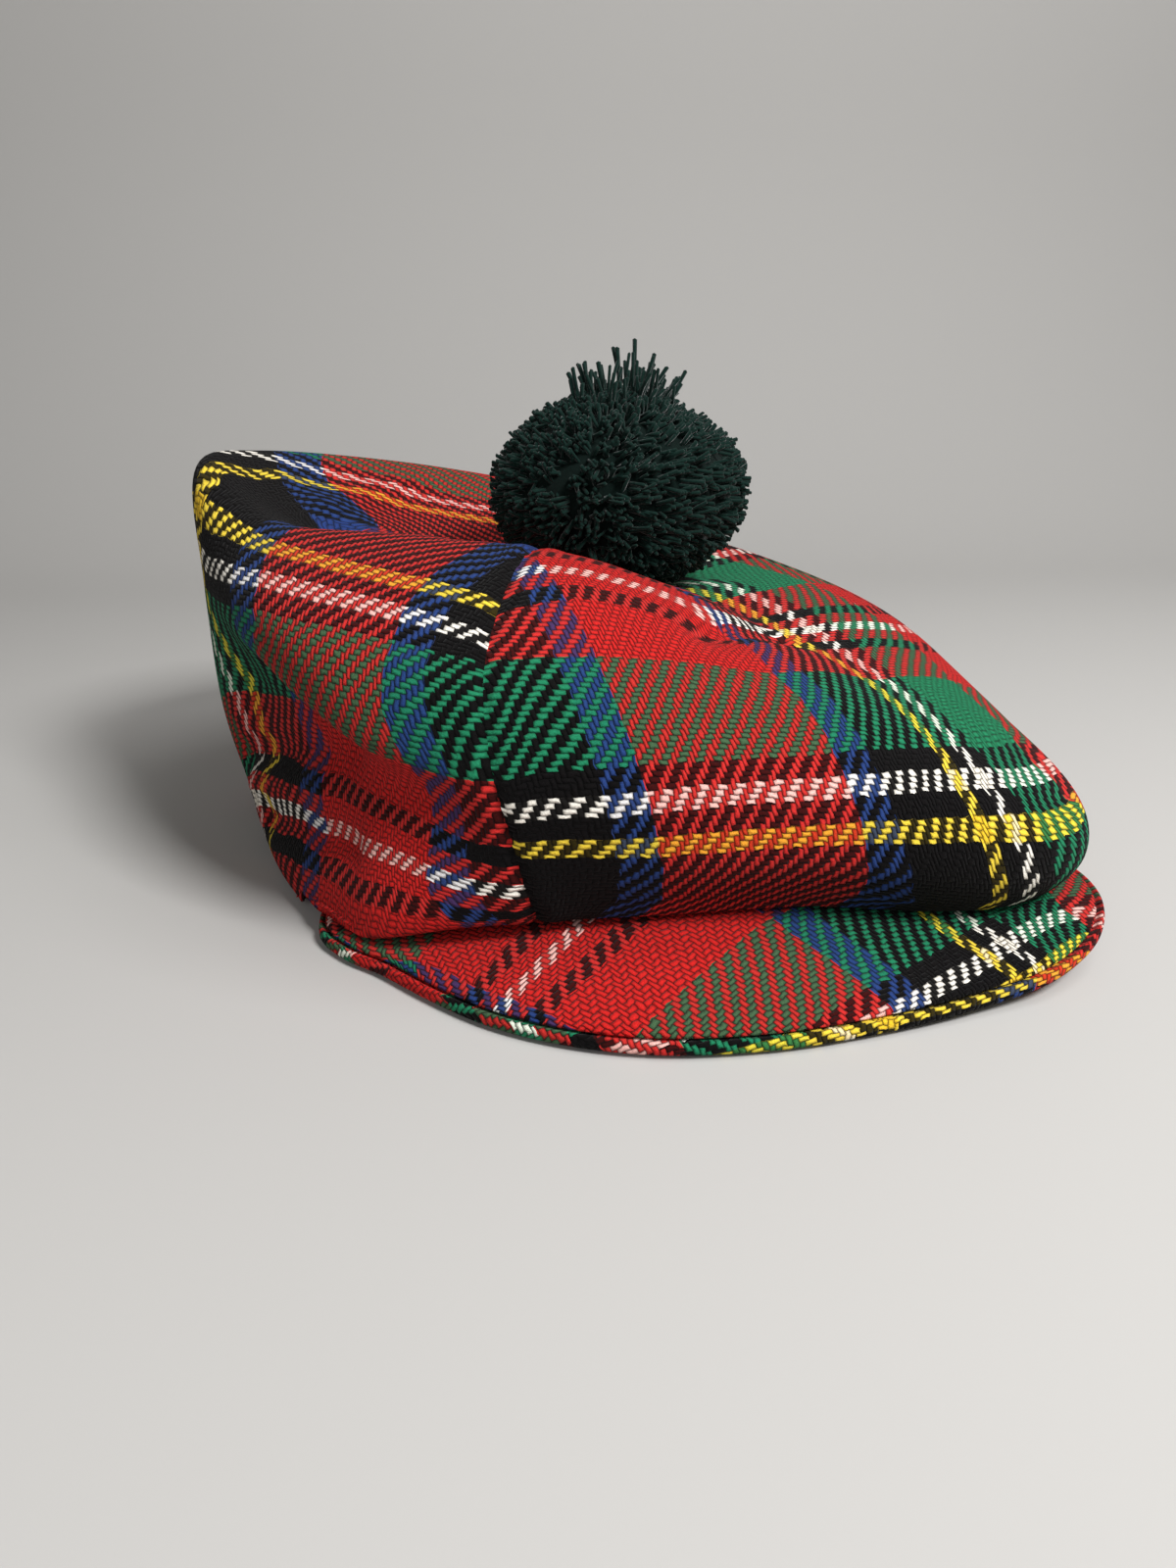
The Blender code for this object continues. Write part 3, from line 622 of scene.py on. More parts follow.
def lay_cloth(name, grid, laid, marks):
    """Thread counts over a grid of cloth: as even as cloth allows, through the marks.

    The grid is flattened with each triangle kept as rigid as it can be, and the marks
    pull the warp and weft counts to where the photograph shows them.
    """
    grid = grid / THREAD
    rings, wide = grid.shape[0] - 1, grid.shape[1]
    count = (rings + 1) * wide
    points = grid.reshape(-1, 3)
    laid = laid.ravel()
    corners = []
    for ring in range(rings):
        for column in range(wide - 1):
            a = ring * wide + column
            corners.append((a, a + 1, a + wide + 1))
            corners.append((a, a + wide + 1, a + wide))
    corners = np.array(corners)
    edge_a = points[corners[:, 1]] - points[corners[:, 0]]
    edge_b = points[corners[:, 2]] - points[corners[:, 0]]
    length_a = np.maximum(np.linalg.norm(edge_a, axis=1), 1e-6)
    along = (edge_a * edge_b).sum(1) / length_a
    height = np.sqrt(np.maximum((edge_b**2).sum(1) - along**2, 1e-6))
    flat = np.stack([np.zeros(len(corners), complex), length_a + 0j, along + 1j * height], 1)

    system = np.zeros((count, count))
    links = []
    for i, j, k in ((0, 1, 2), (1, 2, 0), (2, 0, 1)):
        away_i = flat[:, i] - flat[:, k]
        away_j = flat[:, j] - flat[:, k]
        cross = np.abs((np.conj(away_i) * away_j).imag)
        weight = (np.conj(away_i) * away_j).real / np.maximum(cross, 1e-3)
        weight = np.clip(weight, 0.05, 4.0)
        links.append((corners[:, i], corners[:, j], flat[:, i] - flat[:, j], weight))
        np.add.at(system, (corners[:, i], corners[:, i]), weight)
        np.add.at(system, (corners[:, j], corners[:, j]), weight)
        np.add.at(system, (corners[:, i], corners[:, j]), -weight)
        np.add.at(system, (corners[:, j], corners[:, i]), -weight)

    rows = {"warp": [], "weft": []}
    for system_name, thread, ring, column in marks:
        row = np.zeros(count)
        r = min(int(ring), rings - 1)
        c = min(int(column), wide - 2)
        for dr, wr in ((0, 1 - (ring - r)), (1, ring - r)):
            for dc, wc in ((0, 1 - (column - c)), (1, column - c)):
                row[(r + dr) * wide + c + dc] += wr * wc
        rows[system_name].append((row, thread))
    hold = {key: np.array([row for row, _ in found]) for key, found in rows.items()}
    goal = {key: np.array([float(t) for _, t in found]) for key, found in rows.items()}
    laid = fit_layout(laid, hold, goal)

    pull = MARK_PULL
    keep = 1e-4
    base = system + keep * np.eye(count)
    solve_warp = np.linalg.inv(base + pull * hold["warp"].T @ hold["warp"])
    solve_weft = np.linalg.inv(base + pull * hold["weft"].T @ hold["weft"])
    for _ in range(LAYING_ROUNDS):
        turn = sum(w * (laid[a] - laid[b]) * np.conj(rest) for a, b, rest, w in links)
        turn /= np.maximum(np.abs(turn), 1e-9)
        side = keep * laid
        for a, b, rest, weight in links:
            step = weight * turn * rest
            np.add.at(side, a, step)
            np.add.at(side, b, -step)
        warp = solve_warp @ (side.real + pull * hold["warp"].T @ goal["warp"])
        weft = solve_weft @ (side.imag + pull * hold["weft"].T @ goal["weft"])
        laid = warp + 1j * weft
    for key, part in (("warp", laid.real), ("weft", laid.imag)):
        off = np.abs(hold[key] @ part - goal[key])
        print("cloth", name, key, len(off), "marks, off by", round(float(off.mean()), 2), "threads")
    return laid.reshape(rings + 1, wide)


def fit_layout(laid, hold, goal):
    """Turn, scale and shift a first layout to lie best on the marks."""
    design = []
    target = []
    for key in ("warp", "weft"):
        spot = hold[key] @ laid
        one = np.ones(len(spot))
        none = np.zeros(len(spot))
        if key == "warp":
            design.append(np.stack([spot.real, -spot.imag, one, none], 1))
        else:
            design.append(np.stack([spot.imag, spot.real, none, one], 1))
        target.append(goal[key])
    fit = np.linalg.lstsq(np.concatenate(design), np.concatenate(target), rcond=None)[0]
    return laid * (fit[0] + 1j * fit[1]) + fit[2] + 1j * fit[3]


def lay_crown_half(half):
    """Thread counts over one half of the crown, hem first, seam to seam."""
    start = 0 if half == "right" else 1
    levels = np.linspace(0, CROWN_LEVELS, CASTING_RINGS + 1)
    around = CASTING_COLUMNS // 2
    picked = np.arange(-CASTING_PAD, around + CASTING_PAD + 1) + start * around
    grid = crown_grid(levels, CASTING_COLUMNS)[:, picked % CASTING_COLUMNS]
    marks = find_marks(half, grid, (0, CASTING_RINGS), (CASTING_PAD, CASTING_PAD + around),
                       (CLOTH_RINGS, CLOTH_COLUMNS))
    levels = np.linspace(0, CROWN_LEVELS, CLOTH_RINGS + 1)
    picked = np.arange(CLOTH_COLUMNS + 1) + start * CLOTH_COLUMNS
    grid = crown_grid(levels, 2 * CLOTH_COLUMNS)[:, picked % (2 * CLOTH_COLUMNS)]
    drop = np.linalg.norm(np.diff(grid, axis=0), axis=2) / THREAD
    reach = np.vstack([np.cumsum(drop[::-1], axis=0)[::-1], np.zeros(len(picked))])
    around = picked * 180 / CLOTH_COLUMNS + SEAM_AZIMUTH
    laid = reach * np.exp(1j * np.radians(around - 90))
    return lay_cloth(half, grid, laid, marks)


def lay_peak():
    """Thread counts over the peak's top cover, from its rim to the band."""
    def grid_of(shares, columns):
        """Places on the peak in rows from the rim to the band."""
        azimuth = np.linspace(-PEAK_HALF_SPREAD, PEAK_HALF_SPREAD, columns + 1)
        return np.stack([peak_places(azimuth, 0.0, share, 0.0) for share in shares])
    step = 1 / CASTING_RINGS
    shares = np.arange(-CASTING_PAD, CASTING_RINGS + 1) * step
    grid = grid_of(shares, CASTING_COLUMNS)
    marks = find_marks("peak", grid, (CASTING_PAD, CASTING_PAD + CASTING_RINGS),
                       (0, CASTING_COLUMNS), (PEAK_CLOTH_RINGS, PEAK_CLOTH_COLUMNS))
    grid = grid_of(np.linspace(0, 1, PEAK_CLOTH_RINGS + 1), PEAK_CLOTH_COLUMNS)
    laid = (grid[..., 0] + 1j * grid[..., 1]) / THREAD
    return lay_cloth("peak", grid, laid, marks)


def read_grid(values, rows, columns):
    """Values of a grid at many fractional places, carried straight on past its rows."""
    last = np.array(values.shape) - 1

    def smooth(rows, columns):
        """Cubic mean of the sixteen nearest values."""
        total = 0
        r = np.clip(rows.astype(int), 0, last[0] - 1)
        c = np.clip(columns.astype(int), 0, last[1] - 1)
        for dr, wr in zip((-1, 0, 1, 2), cubic_shares(rows - r)):
            for dc, wc in zip((-1, 0, 1, 2), cubic_shares(columns - c)):
                near = np.clip(r + dr, 0, last[0]), np.clip(c + dc, 0, last[1])
                total = total + wr * wc * values[near]
        return total
    inside = np.clip(rows, 0, last[0])
    columns = np.clip(columns, 0, last[1])
    base = smooth(inside, columns)
    beyond = inside - rows
    return base + beyond * (base - smooth(inside + 0.5, columns)) * 2


def cubic_shares(share):
    """Catmull-Rom weights of the four values around a place."""
    square = share * share
    cube = square * share
    return (
        -0.5 * share + square - 0.5 * cube,
        1 - 2.5 * square + 1.5 * cube,
        0.5 * share + 2 * square - 1.5 * cube,
        -0.5 * square + 0.5 * cube,
    )


def deselect_all():
    """Leave nothing selected or active in a mode other than object mode."""
    if bpy.context.object and bpy.context.object.mode != "OBJECT":
        bpy.ops.object.mode_set(mode="OBJECT")
    bpy.ops.object.select_all(action="DESELECT")


def opening_middle():
    """Middle of the head opening in the frame."""
    low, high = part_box("head_band")
    return np.array([(low.x + high.x) / 2, (low.y + high.y) / 2, 0.0])


def set_points(piece, points):
    """Move a mesh's vertices, given from the opening's middle, into the frame."""
    piece.data.vertices.foreach_set("co", (points + opening_middle()).ravel())
    piece.data.update()


def make_crown(material):
    """The crown: one closed shell, its outer rings fine and its inner rings coarser."""
    deselect_all()
    rings = CROWN_OUTER_RINGS + CROWN_INNER_RINGS
    bpy.ops.mesh.primitive_uv_sphere_add(segments=CROWN_COLUMNS, ring_count=rings, radius=1.0)
    crown = bpy.context.object
    crown.name = "crown_cloth"
    crown.data.name = "crown_cloth"
    ball = np.zeros(len(crown.data.vertices) * 3)
    crown.data.vertices.foreach_get("co", ball)
    ball = ball.reshape(-1, 3)
    ring = np.rint(np.arccos(np.clip(ball[:, 2], -1, 1)) / pi * rings).astype(int)
    column = np.rint(np.degrees(np.arctan2(ball[:, 0], -ball[:, 1])) / 360 * CROWN_COLUMNS)
    column = column.astype(int) % CROWN_COLUMNS

    down = np.linspace(CROWN_LEVELS, 0, CROWN_OUTER_RINGS + 1)
    back = np.linspace(0, CROWN_LEVELS, CROWN_INNER_RINGS + 1)[1:]
    outer = crown_grid(down[::-1], CROWN_COLUMNS)
    outer = add_seam_detail(outer, down[::-1])
    inner_base = crown_grid(np.concatenate([[0.0], back]), CROWN_COLUMNS)
    inner = inner_base - grid_normals(inner_base) * CROWN_CLOTH
    inner[-1] = inner_base[-1] - np.array([0, 0, CROWN_CLOTH])
    inner[0, :, :2] = inner_base[0, :, :2]
    grid = np.concatenate([outer[::-1], inner[1:]])
    set_points(crown, grid[ring, column])

    levels = np.concatenate([down, back])
    half_columns = CROWN_COLUMNS // 2
    rows, columns = np.meshgrid(levels / CROWN_LEVELS * CLOTH_RINGS,
                                np.arange(half_columns + 1) / half_columns * CLOTH_COLUMNS,
                                indexing="ij")
    counts = {half: read_grid(lay_crown_half(half), rows, columns) for half in ("left", "right")}
    write_thread_uvs(crown, ring, column, counts)
    crown.data.materials.append(material)
    crown.data.shade_smooth()
    return crown


def make_peak_piece(name, rows, material, threads_at):
    """One cover of the peak: a ball whose poles are its two ends, with a sweep of rows.

    A row is a corner of the cover's section: inset from the rim, share of the way to the
    band and drop below the peak's top face, with the length of cloth up to it.
    """
    deselect_all()
    rows = round_corners(rows)
    bpy.ops.mesh.primitive_uv_sphere_add(
        segments=len(rows), ring_count=PEAK_STEPS + 2, radius=1.0)
    cover = bpy.context.object
    cover.name = name
    cover.data.name = name
    ball = np.zeros(len(cover.data.vertices) * 3)
    cover.data.vertices.foreach_get("co", ball)
    ball = ball.reshape(-1, 3)
    ring = np.rint(np.arccos(np.clip(ball[:, 2], -1, 1)) / pi * (PEAK_STEPS + 2)).astype(int)
    turn = np.degrees(np.arctan2(ball[:, 1], ball[:, 0])) / 360 * len(rows)
    column = np.rint(turn).astype(int) % len(rows)
    azimuth = PEAK_HALF_SPREAD * (2 * (np.clip(ring, 1, PEAK_STEPS + 1) - 1) / PEAK_STEPS - 1)
    section = np.array(rows)
    points = peak_places(azimuth, *section[column, :3].T)
    for pole in np.flatnonzero((ring == 0) | (ring == PEAK_STEPS + 2)):
        near = (azimuth == azimuth[pole]) & (ring > 0) & (ring < PEAK_STEPS + 2)
        points[pole] = points[near].mean(0)
    set_points(cover, points)
    threads = threads_at(azimuth, section[column])
    corner_vert = np.zeros(len(cover.data.loops), int)
    cover.data.loops.foreach_get("vertex_index", corner_vert)
    layer = cover.data.uv_layers.new(name="threads")
    threads = threads[corner_vert]
    layer.data.foreach_set("uv", np.stack([threads.real, threads.imag], 1).ravel())
    cover.data.materials.append(material)
    cover.data.shade_smooth()
    deselect_all()
    cover.select_set(True)
    bpy.context.view_layer.objects.active = cover
    bpy.ops.object.mode_set(mode="EDIT")
    bpy.ops.mesh.select_all(action="SELECT")
    bpy.ops.mesh.normals_make_consistent(inside=False)
    bpy.ops.object.mode_set(mode="OBJECT")
    return cover


def peak_places(azimuth, inset, share, drop):
    """Points on the peak. Share runs from 0 at the inset from its rim to 1 at the band."""
    turn = np.radians(azimuth)
    inner = band_reach(azimuth) + GAP
    reach = np.maximum(peak_row(azimuth)[0], PEAK_LEAST_REACH)
    outer = band_reach(azimuth) + reach - inset
    place = outer + (inner - outer) * share
    height = peak_height(azimuth, (outer + inset - place) / reach) - drop
    return np.stack([place * np.sin(turn), -place * np.cos(turn), height], 1)


def round_corners(rows):
    """Section corners joined by short steps, with the corners softened."""
    fine = []
    for index, row in enumerate(rows):
        ahead = rows[(index + 1) % len(rows)]
        length = hypot((ahead[0] - row[0]) + (ahead[1] - row[1]) * PEAK_DEPTH, ahead[2] - row[2])
        steps = max(int(length / PEAK_STEP), 2)
        for step in range(steps):
            part = step / steps
            fine.append([row[i] + (ahead[i] - row[i]) * part for i in range(3)])
    fine = np.array(fine)
    for _ in range(CORNER_ROUNDS):
        fine = fine + CORNER_PULL * (np.roll(fine, 1, 0) + np.roll(fine, -1, 0) - 2 * fine)
    return fine.tolist()


def top_cover_threads(azimuth, section):
    """Thread counts of the top cover, carried on down over its edge."""
    inset, share, drop = section.T
    reach = np.maximum(peak_row(azimuth)[0], PEAK_LEAST_REACH)
    wide = reach - GAP
    from_rim = inset + share * (wide - inset)
    near_rim = ease((RIM_TURN - from_rim) / RIM_TURN_WIDTH)
    row = (from_rim - near_rim * drop) / wide * PEAK_CLOTH_RINGS
    column = (azimuth / PEAK_HALF_SPREAD + 1) / 2 * PEAK_CLOTH_COLUMNS
    threads = read_grid(lay_peak(), row, column)
    return 2 * WHITE_MIDDLE - threads.real + 1j * threads.imag


def under_cover_threads(azimuth, section):
    """Thread counts of the under cover, carried on up round the rim."""
    spot = peak_places(azimuth, section[:, 0], section[:, 1], 0.0 * section[:, 2])[:, :2]
    turn = np.radians(azimuth)
    away = np.stack([np.sin(turn), -np.cos(turn)], 1)
    spot = spot - away * (PEAK_THICKNESS - section[:, 2])[:, None]
    warp_way = np.array(UNDER_WARP_WAY) / np.linalg.norm(UNDER_WARP_WAY)
    weft_way = np.array([warp_way[1], -warp_way[0]])
    warp = UNDER_WARP_COUNT + (spot - UNDER_WARP_PLACE) @ warp_way / THREAD
    weft = UNDER_WEFT_COUNT + (spot - UNDER_WEFT_PLACE) @ weft_way / THREAD
    return warp + 1j * weft


def make_band(material):
    """Head band: a ring of folded cloth inside the crown's hem."""
    deselect_all()
    bpy.ops.mesh.primitive_torus_add(
        major_segments=BAND_COLUMNS, minor_segments=BAND_ROWS,
        major_radius=1.0, minor_radius=0.25)
    band = bpy.context.object
    band.name = "band_ring"
    band.data.name = "band_ring"
    ring = np.zeros(len(band.data.vertices) * 3)
    band.data.vertices.foreach_get("co", ring)
    ring = ring.reshape(-1, 3)
    azimuth = np.degrees(np.arctan2(ring[:, 0], -ring[:, 1]))
    away = np.hypot(ring[:, 0], ring[:, 1]) - 1.0
    turn = np.arctan2(ring[:, 2], away)
    # The section is a tall rounded box: the wall's middle line, then half a thickness
    lift = np.clip(np.sin(turn) * BAND_FACE_STRETCH, -1, 1)
    edge = np.clip(BAND_EDGE_STRETCH * (1 - np.abs(np.sin(turn))), 0, 1)
    side = np.cos(turn) * np.sqrt(edge)
    side = np.where(np.abs(lift) < 1, np.sign(np.cos(turn)), side)
    outset = BAND_CLOTH / 2 + side * BAND_CLOTH / 2
    radial = np.radians(azimuth)
    points = np.stack([
        (HEAD_WIDTH / 2 + outset) * np.sin(radial),
        -(HEAD_LENGTH / 2 + outset) * np.cos(radial),
        band_bottom(azimuth) + BAND_HEIGHT * (lift + 1) / 2,
    ], 1)
    set_points(band, points)
    corner_vert = np.zeros(len(band.data.loops), int)
    band.data.loops.foreach_get("vertex_index", corner_vert)
    corner_azimuth = azimuth[corner_vert].reshape(-1, 4)
    wraps = corner_azimuth.max(1) - corner_azimuth.min(1) > 180
    corner_azimuth[wraps] = np.where(corner_azimuth[wraps] < 0, corner_azimuth[wraps] + 360,
                                     corner_azimuth[wraps])
    round_way = np.radians(corner_azimuth.ravel()) * (HEAD_WIDTH + HEAD_LENGTH) / 4 / THREAD
    up_way = points[corner_vert, 2] / THREAD
    layer = band.data.uv_layers.new(name="threads")
    layer.data.foreach_set("uv", np.stack([round_way, up_way + 12], 1).ravel())
    band.data.materials.append(material)
    band.data.shade_smooth()
    return band


def pompom_surface(direction):
    """Distance of the pompom's clipped surface from its middle in each direction."""
    radii = np.array([POMPOM_WIDTH / 2, POMPOM_DEPTH / 2, POMPOM_HEIGHT / 2])
    reach = 1 / np.linalg.norm(direction / radii, axis=1)
    for lobe in POMPOM_LOBES:
        axis = np.array(lobe.direction) / np.linalg.norm(lobe.direction)
        away = np.degrees(np.arccos(np.clip(direction @ axis, -1, 1)))
        reach = reach * (1 + lobe.swell * np.exp(-((away / lobe.width) ** 2)))
    return reach


def make_pompom(material, core_material):
    """Pompom: a core darkened as painted shade and thousands of yarn ends, with a loose tuft on top."""
    random = np.random.default_rng(7)
    apex = np.array([*(CROWN_SHIFT + APEX_SHIFT), APEX_HEIGHT + GAP])
    centre = apex + np.array([0, 0, POMPOM_NECK_HEIGHT + POMPOM_HEIGHT / 2])

    deselect_all()
    bpy.ops.mesh.primitive_ico_sphere_add(subdivisions=5, radius=1.0)
    core = bpy.context.object
    core.name = "pompom_core"
    core.data.name = "pompom_core"
    ball = np.zeros(len(core.data.vertices) * 3)
    core.data.vertices.foreach_get("co", ball)
    ball = ball.reshape(-1, 3)
    ball /= np.linalg.norm(ball, axis=1, keepdims=True)
    reach = pompom_surface(ball) * CORE_SHARE
    set_points(core, centre + ball * reach[:, None])
    core.data.materials.append(core_material)
    core.data.shade_smooth()

    deselect_all()
    bpy.ops.mesh.primitive_uv_sphere_add(segments=YARN_SIDES, ring_count=YARN_RINGS, radius=1.0)
    yarn = bpy.context.object
    yarn.name = "pompom_yarn"
    yarn.data.name = "pompom_yarn"
    count = YARN_ENDS + TUFT_ENDS
    rows = yarn.modifiers.new("Ends", "ARRAY")
    rows.use_relative_offset = False
    rows.count = count
    bpy.ops.object.modifier_apply(modifier=rows.name)
    ball = np.zeros(len(yarn.data.vertices) * 3)
    yarn.data.vertices.foreach_get("co", ball)
    ball = ball.reshape(count, -1, 3)

    index = np.arange(YARN_ENDS)
    height = 1 - (1 - YARN_LOWEST) * (index + 0.5) / YARN_ENDS
    turn = pi * (3 - sqrt(5)) * index + random.normal(0, TURN_JITTER, YARN_ENDS)
    flat = np.sqrt(1 - height**2)
    aim = np.stack([flat * np.sin(turn), flat * np.cos(turn), height], 1)
    aim += random.normal(0, AIM_JITTER, aim.shape)
    aim /= np.linalg.norm(aim, axis=1, keepdims=True)
    surface = pompom_surface(aim)
    clump = random.normal(0, 1, (YARN_CLUMPS, 3))
    clump /= np.linalg.norm(clump, axis=1, keepdims=True)
    nearest = clump[np.argmax(aim @ clump.T, axis=1)]
    tip_aim = aim + CLUMP_PULL * (nearest - aim)
    tip_aim /= np.linalg.norm(tip_aim, axis=1, keepdims=True)
    tip_share = TIP_SHARE + CLUMP_RISE * (
        1 - np.linalg.norm(nearest - aim, axis=1) / CLUMP_SIZE)
    tip_share = tip_share + random.normal(0, TIP_JITTER, YARN_ENDS)
    tip = tip_aim * (pompom_surface(tip_aim) * tip_share)[:, None]
    away = np.degrees(np.arccos(np.clip(aim @ SWEEP_MIDDLE, -1, 1)))
    lean = random.normal(0, LEAN_JITTER, aim.shape) + YARN_SWEEP * np.exp(
        -((away / SWEEP_WIDTH) ** 2))[:, None]
    root = aim * (surface * ROOT_SHARE)[:, None] - lean
    bend = random.normal(0, YARN_BEND, aim.shape)

    tuft_turn = random.uniform(0, 2 * pi, TUFT_ENDS)
    tuft_away = np.sqrt(random.uniform(0, 1, TUFT_ENDS))
    tuft_aim = np.stack([TUFT_LEAN + TUFT_SPREAD * tuft_away * np.sin(tuft_turn),
                         TUFT_SPREAD * tuft_away * np.cos(tuft_turn), np.ones(TUFT_ENDS)], 1)
    tuft_aim /= np.linalg.norm(tuft_aim, axis=1, keepdims=True)
    tuft_top = random.uniform(0, 1, TUFT_ENDS) ** TUFT_SHORTNESS * TUFT_REACH * (
        TUFT_MIDDLE_SHARE - TUFT_EDGE_LOSS * tuft_away)
    tuft_surface = pompom_surface(tuft_aim)
    tip = np.concatenate([tip, tuft_aim * (tuft_surface + tuft_top)[:, None]])
    root = np.concatenate([root, tuft_aim * (tuft_surface * TUFT_ROOT_SHARE)[:, None]])
    bend = np.concatenate([bend, random.normal(0, TUFT_BEND, tuft_aim.shape)])

    thickness = random.uniform(*YARN_RADIUS_SHARES, count) * YARN_RADIUS
    axis = tip - root
    length = np.linalg.norm(axis, axis=1, keepdims=True)
    axis /= length
    helper = np.where(np.abs(axis[:, :1]) > 0.7, [[0, 1, 0]], [[1, 0, 0]])
    side = np.cross(axis, helper)
    side /= np.linalg.norm(side, axis=1, keepdims=True)
    other = np.cross(axis, side)
    ring = np.arccos(np.clip(ball[..., 2], -1, 1)) / pi
    along = 1 - ring
    spread = np.interp(ring, [0.0, 0.01, 1 / YARN_RINGS, 2 / YARN_RINGS, 0.8, 1.0],
                       [0.0, 0.5, 1.05, 0.9, 0.8, 0.0])
    polar = np.hypot(ball[..., 0], ball[..., 1])
    unit_x = np.where(polar > 1e-6, ball[..., 0] / np.maximum(polar, 1e-6), 0)
    unit_y = np.where(polar > 1e-6, ball[..., 1] / np.maximum(polar, 1e-6), 0)
    along = np.where(along > 0.99, 1.0, np.interp(along, [0, 1 / YARN_RINGS, 1 - 1 / YARN_RINGS],
                                                  [0, 0.2, 0.985]))
    points = root[:, None] + axis[:, None] * (along * length)[..., None]
    points += bend[:, None] * np.sin(along * pi)[..., None]
    wide = (spread * thickness[:, None])[..., None]
    points += side[:, None] * unit_x[..., None] * wide + other[:, None] * unit_y[..., None] * wide
    set_points(yarn, centre + points.reshape(-1, 3))
    yarn.data.materials.append(material)
    yarn.data.shade_smooth()
    return core, yarn


def yarn_material(name, color, depth):
    """Soft acrylic yarn, uneven from end to end."""
    material = bpy.data.materials.new(name)
    material.use_nodes = True
    tree = material.node_tree
    shader = tree.nodes["Principled BSDF"]
    place = node(tree, "ShaderNodeTexCoord")
    patches = node(tree, "ShaderNodeTexNoise")
    patches.inputs["Scale"].default_value = YARN_PATCH_SCALE
    patches.inputs["Detail"].default_value = 3.0
    tree.links.new(place.outputs["Object"], patches.inputs["Vector"])
    dark = tuple(value * depth for value in color)
    shade = mix_color(tree, patches.outputs["Fac"], dark, color)
    tree.links.new(shade, shader.inputs["Base Color"])
    bump = node(tree, "ShaderNodeBump")
    bump.inputs["Strength"].default_value = 0.6
    bump.inputs["Distance"].default_value = YARN_RELIEF
    tree.links.new(patches.outputs["Fac"], bump.inputs["Height"])
    tree.links.new(bump.outputs[0], shader.inputs["Normal"])
    shader.inputs["Roughness"].default_value = 0.9
    shader.inputs["Specular IOR Level"].default_value = 0.1
    shader.inputs["Sheen Weight"].default_value = 0.15
    shader.inputs["Sheen Roughness"].default_value = 0.4
    return material


def add_seam_detail(grid, levels):
    """A stitched groove along the middle seam, a little puckered."""
    columns = grid.shape[1]
    normals = grid_normals(grid)
    reach = np.linalg.norm(np.roll(grid, -1, 1) - grid, axis=2)
    offset = np.minimum(np.arange(columns), columns - np.arange(columns))
    offset = np.minimum(offset, np.abs(np.arange(columns) - columns // 2))
    distance = offset[None] * reach
    pucker = 1 + SEAM_PUCKER * np.sin(np.arange(len(levels)) * SEAM_PUCKER_PITCH)[:, None]
    depth = SEAM_DEPTH * pucker * np.exp(-((distance / SEAM_WIDTH) ** 2))
    swell = SEAM_SWELL * np.exp(-(((distance - SEAM_SWELL_PLACE) / SEAM_SWELL_WIDTH) ** 2))
    fade = ease((levels - SEAM_START) / FOLD_FADE) * ease(CROWN_LEVELS - 1 - levels)
    return grid + normals * ((swell - depth) * fade[:, None])[..., None]


def write_thread_uvs(piece, ring, column, counts):
    """Store warp and weft counts as a UV map, split along the seams."""
    data = piece.data
    corner_vert = np.zeros(len(data.loops), int)
    data.loops.foreach_get("vertex_index", corner_vert)
    corner_face = np.zeros(len(data.loops), int)
    sizes = np.zeros(len(data.polygons), int)
    data.polygons.foreach_get("loop_total", sizes)
    corner_face = np.repeat(np.arange(len(sizes)), sizes)
    corner_ring = ring[corner_vert]
    corner_column = column[corner_vert]
    total = CROWN_COLUMNS
    half = total // 2
    last = max(ring)
    polar = (corner_ring == 0) | (corner_ring == last)
    least = np.full(len(sizes), total * 4)
    most = np.full(len(sizes), -1)
    np.minimum.at(least, corner_face[~polar], corner_column[~polar])
    np.maximum.at(most, corner_face[~polar], corner_column[~polar])
    wraps = (most - least) > half
    start = np.where(wraps, most, least)
    corner_start = start[corner_face]
    fixed = np.where(wraps[corner_face] & (corner_column < half), corner_column + total,
                     corner_column)
    fixed = np.where(polar, corner_start, fixed)
    on_right = corner_start < half
    place = np.where(on_right, fixed, fixed - half)
    threads = np.where(on_right, counts["right"][corner_ring, np.clip(place, 0, half)],
                       counts["left"][corner_ring, np.clip(place, 0, half)])
    layer = data.uv_layers.new(name="threads")
    layer.data.foreach_set("uv", np.stack([threads.real, threads.imag], 1).ravel())


def node(tree, kind, **settings):
    """Add a shader node and set its properties."""
    made = tree.nodes.new(kind)
    for name, value in settings.items():
        setattr(made, name, value)
    return made


def maths(tree, operation, first, second=None, third=None):
    """Add a Math node fed by sockets or numbers and return its output."""
    made = node(tree, "ShaderNodeMath", operation=operation)
    for index, value in enumerate((first, second, third)):
        if value is None:
            continue
        if isinstance(value, (int, float)):
            made.inputs[index].default_value = value
        else:
            tree.links.new(value, made.inputs[index])
    return made.outputs[0]


def mix_color(tree, share, first, second, blend_type="MIX"):
    """Add a color Mix node and return its result."""
    made = node(tree, "ShaderNodeMix", data_type="RGBA", blend_type=blend_type)
    for socket, value in ((made.inputs[0], share), (made.inputs[6], first),
                          (made.inputs[7], second)):
        if isinstance(value, (int, float)):
            socket.default_value = value
        elif isinstance(value, tuple):
            socket.default_value = (*value, 1.0)
        else:
            tree.links.new(value, socket)
    return made.outputs[2]


